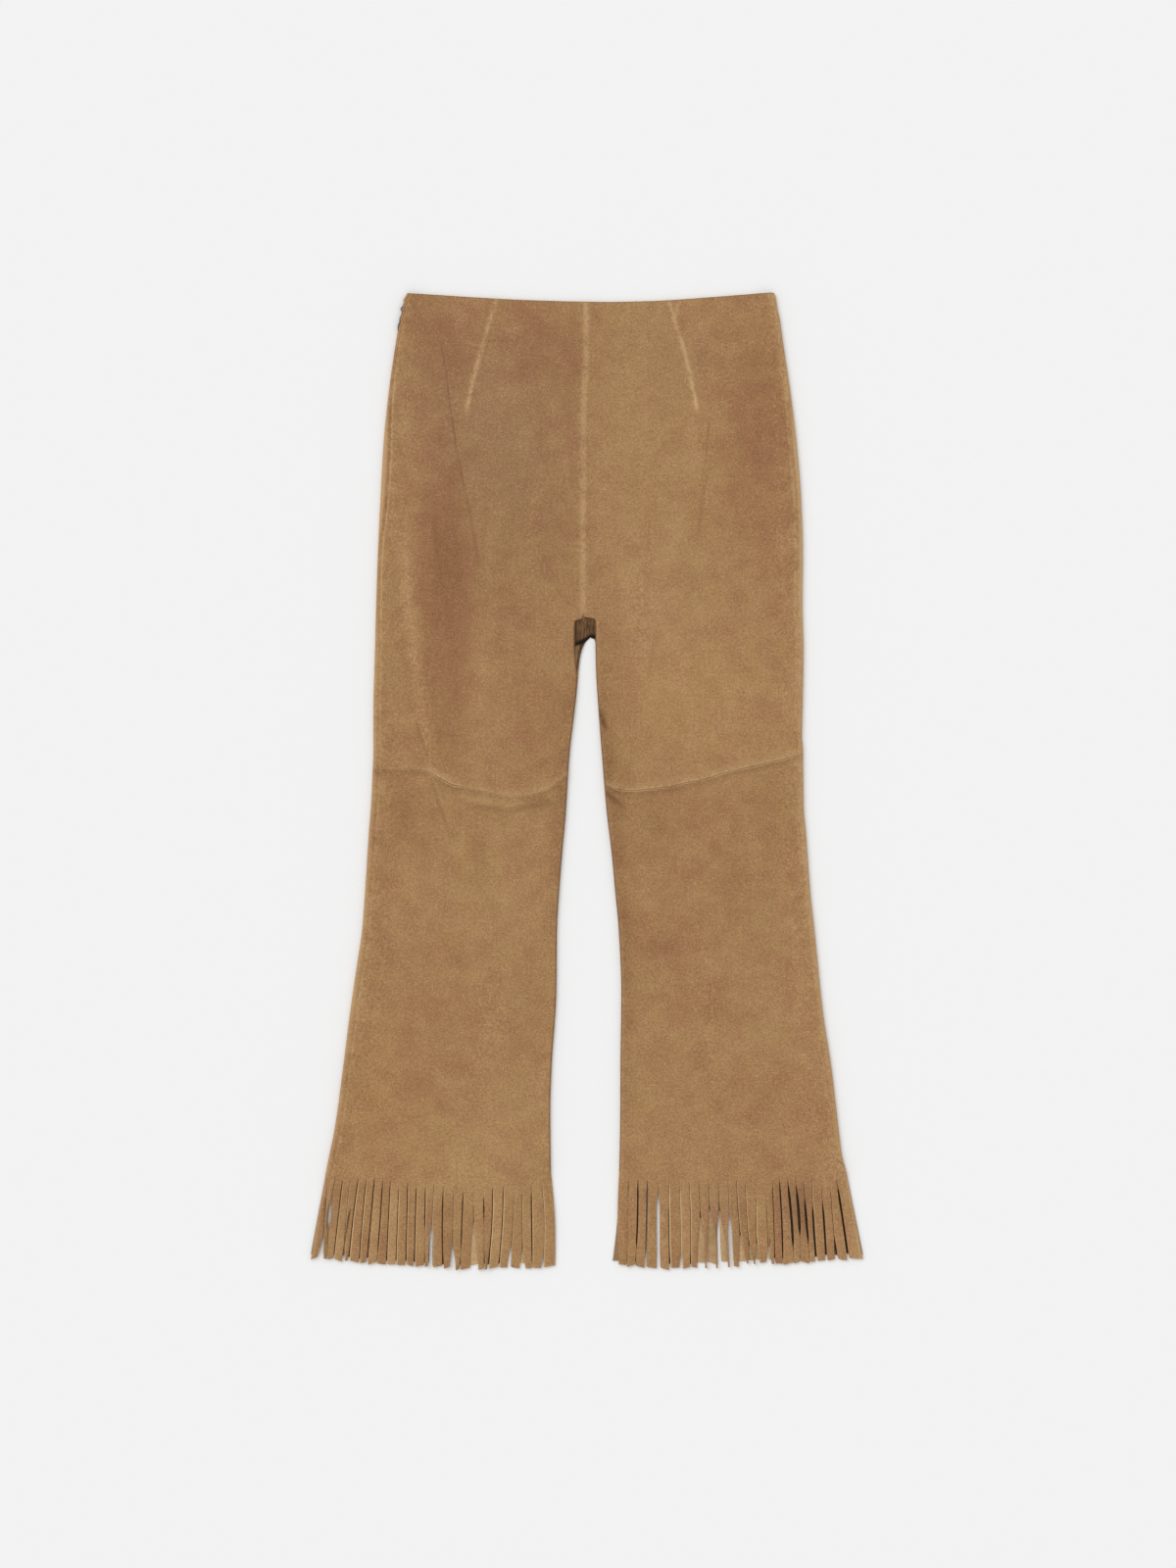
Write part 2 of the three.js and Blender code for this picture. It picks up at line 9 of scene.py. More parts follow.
import bpy
import numpy as np
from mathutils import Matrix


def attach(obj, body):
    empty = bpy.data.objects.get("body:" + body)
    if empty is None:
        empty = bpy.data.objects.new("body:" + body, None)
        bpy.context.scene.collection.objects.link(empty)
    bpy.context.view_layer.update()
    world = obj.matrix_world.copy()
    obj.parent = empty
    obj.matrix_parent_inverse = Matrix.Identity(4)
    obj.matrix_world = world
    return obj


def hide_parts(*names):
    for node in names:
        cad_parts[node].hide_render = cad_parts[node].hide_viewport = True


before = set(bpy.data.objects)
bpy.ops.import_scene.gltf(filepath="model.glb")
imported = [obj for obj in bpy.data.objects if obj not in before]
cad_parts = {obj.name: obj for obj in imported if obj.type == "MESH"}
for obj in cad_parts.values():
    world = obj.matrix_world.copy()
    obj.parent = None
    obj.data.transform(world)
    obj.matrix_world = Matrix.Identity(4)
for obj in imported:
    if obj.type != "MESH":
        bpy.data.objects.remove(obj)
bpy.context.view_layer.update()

MM = 0.001

# Sizes of the cut, in millimetres
LENGTH = 958
WALL = 1.2
LAYER_GAP = 0.5
REST_HEIGHT = WALL + LAYER_GAP + WALL
FOLD_HEIGHT = 5.2
FOLD_RADIUS = FOLD_HEIGHT / 2
SIDE_RISE = 22
EDGE_TURN = 3.3
FULL_TURN = {"front": math.radians(90), "back": math.radians(84)}
FORK = {"front": (317, 328), "back": (337, 352)}
LEG_EDGE_RISE = 1.5
CENTRE_RISE = 0.8
EDGE_RISE_WIDTH = 8
SEAM_RISE = 0.6
SEAM_RISE_WIDTH = 6
DART_RISE = 0.6
DART_HALF_WIDTH = 3.2
DART_END = 118
WAIST_BLEND = 60
KNEE = 475
KNEE_BLEND = 75
HEM = 862  # the cuts of the fringe start below this line
SEAM_GAP = 0.06
SEAM_ROLL = 0.45  # how far a sewn edge dips into its seam
SEAM_ROLL_WIDTH = 1.3
SIDES = {"right": -1, "left": 1}


def table(columns, *rows):
    """Rows of numbers as one array for each named column."""
    return dict(zip(columns.split(), np.array(rows, float).T))


SIDE_FOLD = table(
    "drop right left",
    (0, -174.5, 182.5),
    (2, -175.8, 184.2),
    (5, -177.4, 185.2),
    (8, -179.3, 185.8),
    (15, -180.4, 186.8),
    (27.5, -182.9, 189.5),
    (45, -185.8, 191.8),
    (88, -192.2, 198.3),
    (146, -198.4, 205.6),
    (204, -201.7, 210.2),
    (255, -204.1, 211.9),
    (305, -205.8, 211.4),
    (350, -207, 212.5),
    (415, -208.6, 211.4),
    (437, -208.6, 210.9),
    (446, -208.5, 212),
    (475, -209.5, 212.2),
    (505, -211, 212.7),
    (530, -213, 214.9),
    (588, -216.8, 219.2),
    (628, -219.9, 223.6),
    (645, -222.5, 225.3),
    (703, -231, 231.3),
    (760, -238.3, 239.9),
    (818, -246.2, 246.7),
    (843, -251.2, 249.8),
    (858, -254.3, 253.4),
    (866, -255.6, 255.6),
    (940, -268, 269),
)

# How far the side seam lies in from the fold: on the garment it wanders
SIDE_SEAM = table(
    "drop right left",
    (0, 3.6, 4.6),
    (55, 2.9, 4.6),
    (104, 4.2, 4),
    (140, 6.6, 6.2),
    (163, 7.8, 6.8),
    (190, 7.5, 6.6),
    (215, 6.5, 6),
    (250, 3.9, 6.4),
    (285, 3.6, 6.4),
    (360, 5, 5.2),
    (475, 6, 6),
    (860, 6, 6),
)

WAIST = table(
    "x drop",
    (-182, 1.2),
    (-152, 2.7),
    (-106, 5.6),
    (-60, 8),
    (-14, 9.5),
    (20, 10),
    (56, 9.3),
    (79, 8.3),
    (102, 6.7),
    (148, 3.2),
    (171, 1.5),
    (186, 0.8),
)

INNER_EDGE = table(
    "drop front_right front_left back_right back_left",
    (0, 0, 0, 0, 0),
    (30, 0, 0, 0, 0),
    (155, -3.3, -3.3, -3.3, -3.3),
    (318, -3.3, -3.3, -3.3, -3.3),
    (319.2, -3.4, 3.6, -3.2, -3.2),
    (320.2, -4.2, 7.8, -3, -3),
    (321.4, -8.8, 8.4, -2.6, -2.6),
    (323, -10.9, 8.7, -2.2, -2.2),
    (332, -11.3, 8.9, 0.6, 0.6),
    (338.6, -11.3, 8.9, 3.8, 4.2),
    (340, -11.3, 8.9, 2.2, 7.4),
    (344, -11.3, 8.9, -1.4, 8.8),
    (349, -11.2, 8.9, -3.7, 8.9),
    (354, -10.9, 9, -5.3, 9),
    (364, -10.2, 9.2, -7, 9.2),
    (376, -9, 9.6, -8, 9.6),
    (395, -9.9, 10.8, -9.7, 10.8),
    (415, -12.1, 12.2, -12.1, 12.2),
    (453, -16.5, 15.1, -16.5, 15.1),
    (511, -20.2, 20, -20.2, 20),
    (549, -23.6, 24.6, -23.6, 24.6),
    (588, -26.7, 28.2, -26.7, 28.2),
    (626, -28.8, 31.7, -28.8, 31.7),
    (684, -29.4, 34.1, -29.4, 34.1),
    (760, -34.1, 33.3, -34.1, 33.3),
    (800, -35.4, 33.2, -35.4, 33.2),
    (876, -34.6, 31.8, -34.6, 31.8),
)

DART_LINE = table(
    "drop right left",
    (7, -88, 80.5),
    (25, -93.2, 85.4),
    (50, -100.8, 93.8),
    (71, -106.8, 99.4),
    (92, -112, 103.6),
    (118, -116.8, 108.4),
    (220, -118, 113),
    (475, -118, 116),
    (870, -146, 145),
)

# The knee seam, and how much its ridge is rubbed pale
KNEE_SEAM = table(
    "x drop worn",
    (-213, 467, 0.1),
    (-170, 468, 0.15),
    (-158, 468.5, 0.6),
    (-145, 475, 1.3),
    (-128.5, 483, 1),
    (-118, 485.5, 0.35),
    (-102, 488.5, 0.5),
    (-75, 493.5, 0.35),
    (-55.5, 492.5, 0.55),
    (-36.5, 486, 0.7),
    (-16.5, 472.5, 0.6),
    (16.5, 481, 0.7),
    (28, 486, 0.8),
    (44, 488.5, 0.75),
    (65, 486.5, 0.7),
    (114, 477, 0.75),
    (141, 469.5, 0.9),
    (195, 457, 0.7),
    (215, 451.5, 0.6),
)

# Where the ends of the fringe lie
FRINGE_TIP = table(
    "x drop",
    (-272, 946.5),
    (-235, 948.5),
    (-200, 952),
    (-160, 954),
    (-120, 957),
    (-60, 955.5),
    (-30, 955),
    (31, 952.5),
    (60, 955),
    (110, 956),
    (140, 954.5),
    (165, 951.5),
    (200, 950.5),
    (225, 949.5),
    (240, 948),
    (272, 946),
)

# Soft folds: a ridge has a positive height and a trough a negative one
FOLDS = table(
    "from_x from_drop to_x to_drop height width",
    (-176, 235, -146, 505, 1.5, 9),
    (-158, 250, -152, 470, -0.4, 8),
    (-190, 120, -184, 400, 0.9, 8),
    (-140, 25, -123, 215, 0.8, 10),
    (-60, 150, -40, 330, 0.6, 16),
    (-75, 506, -26, 492, 0.8, 7),
    (-195, 560, -225, 830, 0.9, 13),
    (-90, 590, -100, 850, 0.7, 18),
    (110, 90, 122, 240, 0.7, 10),
    (190, 90, 198, 330, 0.8, 8),
    (60, 200, 52, 400, 0.7, 15),
    (24, 486, 66, 506, 0.8, 7),
    (150, 330, 158, 470, 0.6, 14),
    (112, 580, 128, 850, 0.8, 17),
    (205, 600, 226, 830, 0.7, 12),
)

# Fine creases: shallow troughs, with painted shade along them as narrow dark lines
CREASES = table(
    "from_x from_drop to_x to_drop depth width",
    (-144, 42, -136, 82, 0.2, 1.8),
    (-137, 74, -133, 120, 0.28, 1.8),
    (-133.6, 108, -126, 162, 0.32, 1.8),
    (-127, 152, -117.5, 204, 0.32, 2),
    (-119, 194, -110.5, 232, 0.26, 2.4),
    (-112, 222, -104.5, 272, 0.2, 3),
    (-150, 200, -142, 300, 0.15, 4.5),
    (121, 120, 116, 172, 0.28, 1.8),
    (118, 170, 108, 250, 0.15, 4),
    (9.5, 404, 20, 430, 0.7, 4.5),
    (-167, 418, -154.5, 461, 0.3, 1.6),
    (-153.5, 474, -131, 540, 0.22, 2.8),
    (-120, 502, -72, 509, 0.26, 5),
    (-82, 509.5, -32, 500, 0.28, 5.5),
    (10, 482, 38, 506, 0.45, 4),
    (-48, 60, -20, 78, 0.12, 3),
    (70, 330, 60, 380, 0.12, 4),
    (-253.7, 857, -247.2, 850.4, 0.5, 1.1),
    (-247.4, 850.4, -243.6, 855, 0.35, 1),
)

FINE_STEP = 0.9


def smoothstep(value, low, high):
    """The cubic 3t^2 - 2t^3 of the value's share of the way from low to high."""
    t = np.clip((value - low) / (high - low), 0, 1)
    return t * t * (3 - 2 * t)


def bell(distance, width):
    return np.exp(-((distance / width) ** 2))


def curve(rows, at, value):
    """Monotone cubic through a table's rows: each span is a Hermite cubic whose end slopes are the harmonic
    means of the neighbouring chords' slopes, so it never swings past a row."""
    x, y = rows[at], rows[value]
    chord = np.diff(y) / np.diff(x)
    before = np.concatenate([chord[:1], chord])
    after = np.concatenate([chord, chord[-1:]])
    same = before * after > 0
    slope = np.where(same, 2 * before * after / np.where(same, before + after, 1), 0)

    def through(where):
        where = np.clip(where, x[0], x[-1])
        i = np.clip(np.searchsorted(x, where, side="right") - 1, 0, len(x) - 2)
        span = x[i + 1] - x[i]
        t = (where - x[i]) / span
        start = y[i] * (1 + 2 * t) * (1 - t) ** 2 + slope[i] * span * t * (1 - t) ** 2
        end = y[i + 1] * t * t * (3 - 2 * t) + slope[i + 1] * span * t * t * (t - 1)
        return start + end

    return through


fold_line, side_wrap, dart_line = (
    {leg: curve(rows, "drop", leg) for leg in SIDES} for rows in (SIDE_FOLD, SIDE_SEAM, DART_LINE)
)
waist_drop = curve(WAIST, "x", "drop")
inner_edge = {
    layer: {leg: curve(INNER_EDGE, "drop", f"{layer}_{leg}") for leg in SIDES} for layer in ("front", "back")
}
knee_seam = curve(KNEE_SEAM, "x", "drop")
knee_worn = curve(KNEE_SEAM, "x", "worn")
fringe_tip = curve(FRINGE_TIP, "x", "drop")

ZIP_OPENING = (7, 40)  # the zip's edge shows along this much of the right side
ZIP_SCALLOP = 0.55
ZIP_SCALLOP_PITCH = 9.5


def side_fold(leg, drop):
    """The side fold's place; over the zip's top end the folded edge is slightly scalloped."""
    line = fold_line[leg](drop)
    if leg == "left":
        return line
    start, end = ZIP_OPENING
    window = smoothstep(drop, start - 3, start + 3) * (1 - smoothstep(drop, end - 6, end))
    return line + ZIP_SCALLOP * window * (1 + np.sin(2 * np.pi * drop / ZIP_SCALLOP_PITCH))


def side_seam(leg, drop):
    """The side seam's distance out from the centre line."""
    return SIDES[leg] * side_fold(leg, drop) - side_wrap[leg](drop)


def upper_drop(level, x):
    """Rows of the upper panels: level, but for the waist's dip above and the knee seam's line below."""
    waist = waist_drop(x) * (1 - smoothstep(level, 0, WAIST_BLEND))
    return level + waist + (knee_seam(x) - SEAM_GAP / 2 - KNEE) * smoothstep(level, KNEE - KNEE_BLEND, KNEE)


def lower_drop(level, x):
    """Rows of the lower panels: from the knee seam's line to the level where the fringe starts."""
    return level + (knee_seam(x) + SEAM_GAP / 2 - KNEE) * (1 - smoothstep(level, KNEE, KNEE + KNEE_BLEND))


def along_lines(lines, x, drop):
    """For straight lines on the cloth: each point's share of the way along, and its distance to one side."""
    run = lines["to_x"] - lines["from_x"]
    fall = lines["to_drop"] - lines["from_drop"]
    length = np.hypot(run, fall)
    dx = x[..., None] - lines["from_x"]
    dy = drop[..., None] - lines["from_drop"]
    share = np.clip((dx * run + dy * fall) / length**2, 0, 1)
    return share, (dx * fall - dy * run) / length


def on_lines(lines, value, x, drop, power=1):
    """The sum of a table's lines: each one's value times a sine along it and a bell across it."""
    share, across = along_lines(lines, x, drop)
    return (lines[value] * np.sin(np.pi * share) ** power * bell(across, lines["width"])).sum(-1)


def front_top(leg, out, drop):
    """Upper face of the front: the rest height plus bells beside the seams, the dart and the fold lines."""
    side = SIDES[leg]
    x = side * out
    inner = side * inner_edge["front"][leg](drop)
    seam = side_seam(leg, drop)
    fork = smoothstep(drop, *FORK["front"])
    rise = (CENTRE_RISE + (LEG_EDGE_RISE - CENTRE_RISE) * fork) * bell(out - inner, EDGE_RISE_WIDTH)
    rise = rise + (FOLD_HEIGHT - REST_HEIGHT) * smoothstep(out, seam - SIDE_RISE, seam)
    dart = bell(out - side * dart_line[leg](drop), DART_HALF_WIDTH)
    relief = DART_RISE * (1 - smoothstep(drop, DART_END - 30, DART_END)) * dart
    relief = relief + SEAM_RISE * bell(drop - knee_seam(x), SEAM_RISE_WIDTH)
    relief = relief + on_lines(FOLDS, "height", x, drop) - on_lines(CREASES, "depth", x, drop)
    away = 1 - smoothstep(out, seam - SIDE_RISE / 2, seam)
    return np.maximum(REST_HEIGHT, REST_HEIGHT + rise + relief * away)


def turned_end(layer, drop, turn):
    """The turned-in end of a wall: an arc of fixed length whose whole bend grows below the fork."""
    whole = np.maximum(FULL_TURN[layer] * smoothstep(drop, *FORK[layer]), 1e-4)
    radius = EDGE_TURN / whole
    bend = whole * turn
    return radius * np.sin(bend), radius * (1 - np.cos(bend))


def front_wall(leg, u, drop):
    """Outer face of a front panel at one drop. u from -1 to 0 is the turned-in inner edge and from 0 to 1 the
    flat part, out to the side seam."""
    side = SIDES[leg]
    reach, _ = turned_end("front", drop, 1)
    flat_start = side * inner_edge["front"][leg](drop) + SEAM_GAP / 2 + reach
    seam = side_seam(leg, drop) - SEAM_GAP
    back, down = turned_end("front", drop, np.clip(-u, 0, 1))
    flat = flat_start + (seam - flat_start) * np.clip(u, 0, 1)
    up = front_top(leg, flat, drop) - down
    return flat - back, up - SEAM_ROLL * np.clip(1 - (seam - flat) / SEAM_ROLL_WIDTH, 0, 1) ** 2


def back_wall(leg, u, drop):
    """Outer face of a back panel at one drop. u from -1 to 0 is the inner edge, which turns up, from 0 to 1
    the flat part on the surface, from 1 to 2 a half turn round the side fold, and from 2 to 3 the lap that
    comes back to the side seam."""
    side = SIDES[leg]
    reach, _ = turned_end("back", drop, 1)
    flat_start = side * inner_edge["back"][leg](drop) + SEAM_GAP / 2 + reach
    fold = side * side_fold(leg, drop)
    back, rise = turned_end("back", drop, np.clip(-u, 0, 1))
    flat = flat_start + (fold - FOLD_RADIUS - flat_start) * np.clip(u, 0, 1)
    turn = np.pi * np.clip(u - 1, 0, 1)
    full_lap = side_wrap[leg](drop) - FOLD_RADIUS
    lap = full_lap * np.clip(u - 2, 0, 1)
    up = rise + FOLD_RADIUS * (1 - np.cos(turn))
    near_seam = np.clip(1 - (full_lap - lap) / SEAM_ROLL_WIDTH, 0, 1)
    return flat - back + FOLD_RADIUS * np.sin(turn) - lap, up - SEAM_ROLL * near_seam**2 * (u > 2)


def steps(start, end, size, fine_start=0, fine_end=0):
    """Places from start to end with the given spacing, closer together within a reach of either end."""
    first = np.linspace(start, start + fine_start, max(2, round(fine_start / FINE_STEP) + 1))[:-1]
    last = np.linspace(end - fine_end, end, max(2, round(fine_end / FINE_STEP) + 1))[1:]
    low, high = start + fine_start, end - fine_end
    middle = np.linspace(low, high, round((high - low) / size) + 1)
    return np.concatenate([first if fine_start else [], middle, last if fine_end else []])


def grid_normals(points):
    """Unit normals of a grid of points: the cross product of its two directions."""
    across = np.gradient(points, axis=1)
    down = np.gradient(points, axis=0)
    normal = np.cross(across, down)
    return normal / np.linalg.norm(normal, axis=-1, keepdims=True)


def wall_quads(rows, columns):
    """Quads of a closed wall between two grids: both faces and the four rims."""
    count = rows * columns
    index = np.arange(count).reshape(rows, columns)
    a, b, c, d = index[:-1, :-1], index[:-1, 1:], index[1:, 1:], index[1:, :-1]
    faces = [np.stack([a, b, c, d], -1), count + np.stack([a, d, c, b], -1)]
    for rim in (index[::-1, 0], index[:, -1], index[0, :], index[-1, ::-1]):
        start, end = rim[:-1], rim[1:]
        faces.append(np.stack([end, start, count + start, count + end], -1))
    return np.concatenate([face.reshape(-1, 4) for face in faces])


def make_mesh(name, points, quads, marks):
    """One object from points in millimetres, quads, and an attribute of three numbers for each mark."""
    corners = points[quads]
    twice = np.cross(corners[:, 2] - corners[:, 0], corners[:, 3] - corners[:, 1])
    if (corners.mean(1) * twice).sum() < 0:
        quads = quads[:, ::-1]
    mesh = bpy.data.meshes.new(name)
    mesh.vertices.add(len(points))
    mesh.vertices.foreach_set("co", (points * MM).astype(np.float32).ravel())
    mesh.loops.add(quads.size)
    mesh.loops.foreach_set("vertex_index", quads.astype(np.int32).ravel())
    mesh.polygons.add(len(quads))
    mesh.polygons.foreach_set("loop_start", np.arange(0, quads.size, 4, dtype=np.int32))
    mesh.update(calc_edges=True)
    mesh.polygons.foreach_set("use_smooth", np.ones(len(quads), bool))
    mesh.set_sharp_from_angle(angle=math.radians(50))
    for mark, values in marks.items():
        attribute = mesh.attributes.new(mark, "FLOAT_VECTOR", "POINT")
        attribute.data.foreach_set("vector", values.astype(np.float32).ravel())
    piece = bpy.data.objects.new(name, mesh)
    bpy.context.scene.collection.objects.link(piece)
    return piece


# How much painted shade darkens the legs' inner edges, and how much painted light pales the side folds
EDGE_SHADE_AND_LIGHT = table(
    "drop inner_right inner_left fold_right fold_left",
    (20, 0, 0, 0.5, 1.4),
    (90, 0, 0, 0.7, 0.9),
    (130, 0, 0, 0.3, 0.8),
    (180, 0, 0, 0.1, 0.2),
    (310, 0.2, 0.2, 0.5, 0.8),
    (370, 0.6, 0.8, 1, 1),
    (430, 1.1, 1.5, 0.5, 0.7),
    (480, 1, 1.6, 0.3, 0.7),
    (530, 1.1, 1, 0.2, 1.1),
    (570, 0.9, 1.1, 0.6, 1.1),
    (620, 0.3, 1.2, 1, 0.5),
    (670, 0.2, 0.7, 1, 0.1),
    (720, 0, 0.6, 0.5, 0.5),
    (800, 0, 0.2, 0.4, 0.5),
    (860, 0, 0, 0.1, 0.4),
)
painted_edge_shade_and_light = {tone: curve(EDGE_SHADE_AND_LIGHT, "drop", tone) for tone in EDGE_SHADE_AND_LIGHT if tone != "drop"}
INNER_SHADE_WIDTH = 15
FOLD_LIGHT_WIDTH = 4.5

# How much the centre seam is rubbed pale in places, over what it is rubbed all along
CENTRE_WEAR = table("drop reach worn", (22, 16, 0.3), (95, 30, 0.12), (225, 40, 0.1))
CENTRE_WORN = 0.62
EDGE_WORN = {"right": 0.05, "left": 0.3}
BACK_DART_END = 90

# Broad areas where the colour is dustier, or with a minus more honey-coloured
DUSTY = table(
    "x drop half_width half_height dusty",
    (-75, 150, 70, 130, 0.9),
    (-150, 100, 50, 70, 0.4),
    (95, 60, 50, 40, 0.4),
    (110, 400, 55, 60, -0.6),
    (-205, 790, 50, 80, -0.7),
    (130, 900, 20, 30, 0.7),
    (205, 900, 16, 30, 0.7),
    (-20, 560, 14, 90, 0.4),
)

# Patches where the nap lies another way. Red is the turn towards russet, or with a minus towards olive gold;
# dark is the loss of light, or with a minus the gain.
PATCHES = table(
    "x drop half_width half_height red dark",
    (-141, 270, 25, 150, 1.1, 0.75),
    (-137, 252, 18, 58, 0.2, 0.4),
    (-143, 420, 26, 60, 0.3, 0.25),
    (-142, 48, 32, 42, 0.8, 0.55),
    (-46, 50, 42, 44, 0.8, 0.5),
    (-56, 195, 44, 85, -0.05, 0.35),
    (-14, 95, 9, 72, 0.5, 0.45),
    (-85, 330, 26, 60, 0.2, 0.2),
    (-50, 420, 34, 60, 0.25, 0.25),
    (-176, 120, 12, 90, -0.2, -0.2),
    (-104, 400, 16, 60, -0.2, -0.35),
    (-122, 24, 12, 10, 0, -0.35),
    (55, 112, 48, 95, -0.6, -0.15),
    (172, 136, 36, 105, 0.9, 0.55),
    (190, 330, 26, 90, 0.1, 0.15),
    (60, 300, 40, 60, -0.1, -0.25),
    (98, 385, 90, 72, -0.1, -0.4),
    (40, 340, 26, 60, 0.3, 0.2),
    (56, 530, 34, 46, -0.5, 0.4),
    (90, 505, 70, 18, 0.1, 0.3),
    (74, 640, 32, 30, 0.4, 0.3),
    (112, 690, 40, 26, 0.3, 0.3),
    (120, 560, 80, 70, 0.2, 0.2),
    (190, 500, 26, 40, 0.1, 0.3),
    (160, 800, 60, 40, 0.4, 0.1),
    (45, 760, 24, 60, -0.2, -0.1),
    (-176, 508, 24, 32, 0.3, 0.7),
    (-44, 499, 15, 7, 0, 0.8),
    (-100, 497, 50, 8, -0.3, -0.6),
    (-95, 600, 52, 90, -0.1, -0.2),
    (-150, 720, 60, 90, 0.45, 0.05),
    (-60, 700, 22, 60, 0.1, 0.25),
    (-123, 860, 34, 34, -0.8, -0.5),
    (-60, 800, 30, 40, -0.2, -0.25),
    (-215, 620, 26, 60, 0.1, 0.15),
    (206, 900, 20, 30, 0.4, 0.9),
    (155, 916, 16, 24, 0.1, 0.4),
    (-240, 900, 16, 30, 0.3, 0.3),
    (-236, 640, 26, 78, -0.2, -0.9),
    (-22, 262, 26, 40, 0.1, 0.4),
    (-126, 284, 16, 52, 0.7, 0.35),
    (-90, 385, 56, 110, 0, 0.3),
    (127, 818, 60, 20, 0, -0.4),
    (60, 600, 20, 16, 0, -0.3),
    (-152, 472, 22, 14, 0, -0.35),
    (79, 88, 14, 40, 0.1, 0.35),
    (50, 372, 14, 46, 0, 0.35),
    (-195, 882, 22, 14, 0, -0.3),
)

# Long soft streaks in the nap; pale is the gain of light, or with a minus the loss
STREAKS = table(
    "from_x from_drop to_x to_drop width pale",
    (-181, 230, -168, 372, 7, 1.1),
    (-170, 340, -150, 480, 6, 0.85),
    (-118, 440, -88, 300, 8, 0.35),
    (-92, 470, -70, 330, 7, 0.3),
    (101, 105, 108, 190, 7, 0.4),
    (106, 180, 66, 300, 8, 0.45),
    (70, 290, 46, 400, 8, 0.4),
    (30, 250, 60, 380, 8, 0.3),
    (-112, 470, -102, 590, 9, -0.3),
    (-84, 40, -60, 34, 6, 0.8),
    (91.5, 4, 86, 28, 2.4, 1.3),
    (-70, 44, -92, 150, 5, 0.25),
    (200, 700, 120, 760, 9, 0.35),
    (-140, 780, -60, 860, 10, 0.35),
    (-60, 640, -110, 760, 10, 0.25),
    (60, 840, 150, 780, 9, -0.3),
)


# In the fork the back shows, shaded. A dark band crosses it, and its lower edge rises towards the left leg.
BAND_EDGE = table("x drop", (-11.5, 347), (-6, 345.5), (-1, 343.5), (4.5, 340), (9, 340))
BAND_HEIGHT = 8
FORK_SHADE_REACH = 26
# A paler ridge and a groove beside it run down across the band
LINE_DROPS = (321, 334)
RIDGE_PLACES = (-2.6, 2.2)
GROOVE_PLACES = (-0.6, 4.0)


def fork_shade(x, drop):
    """Shade on the back between the legs, below the front's fork: up to 1 is deep brown, and up to 2 nearly
    black. Below the band only a strip beside the legs stays shaded."""

    def line(places, width):
        return bell(x - np.interp(drop, LINE_DROPS, places), width) * (1 - smoothstep(drop, 330, 337))

    edge = np.interp(x, BAND_EDGE["x"], BAND_EDGE["drop"])
    beside = bell(x, FORK_SHADE_REACH)
    deep = smoothstep(drop, 311, 314) * beside * (0.5 + 0.5 * smoothstep(drop, 318, 327))
    below = smoothstep(drop, edge - 0.7, edge + 0.7)
    band = smoothstep(drop, edge - BAND_HEIGHT, edge - 1.5) * (1 - below)
    lines = 0.5 * line(GROOVE_PLACES, 0.8) - 0.35 * line(RIDGE_PLACES, 0.9)
    rim = bell(inner_edge["back"]["right"](drop) - x - 1, 1.5) * (x < 1) * (1 - smoothstep(drop, 350, 400))
    strip = 0.6 * (1 - smoothstep(drop, 346, 376)) + 0.9 * rim
    return deep * (1 + lines + 0.9 * band - below) + below * beside * strip


def in_ovals(rows, value, x, drop):
    """The sum of a table's soft ovals: each one's value times a bell across and one down the garment."""
    across = bell(x[..., None] - rows["x"], rows["half_width"])
    down = bell(drop[..., None] - rows["drop"], rows["half_height"])
    return (rows[value] * across * down).sum(-1)


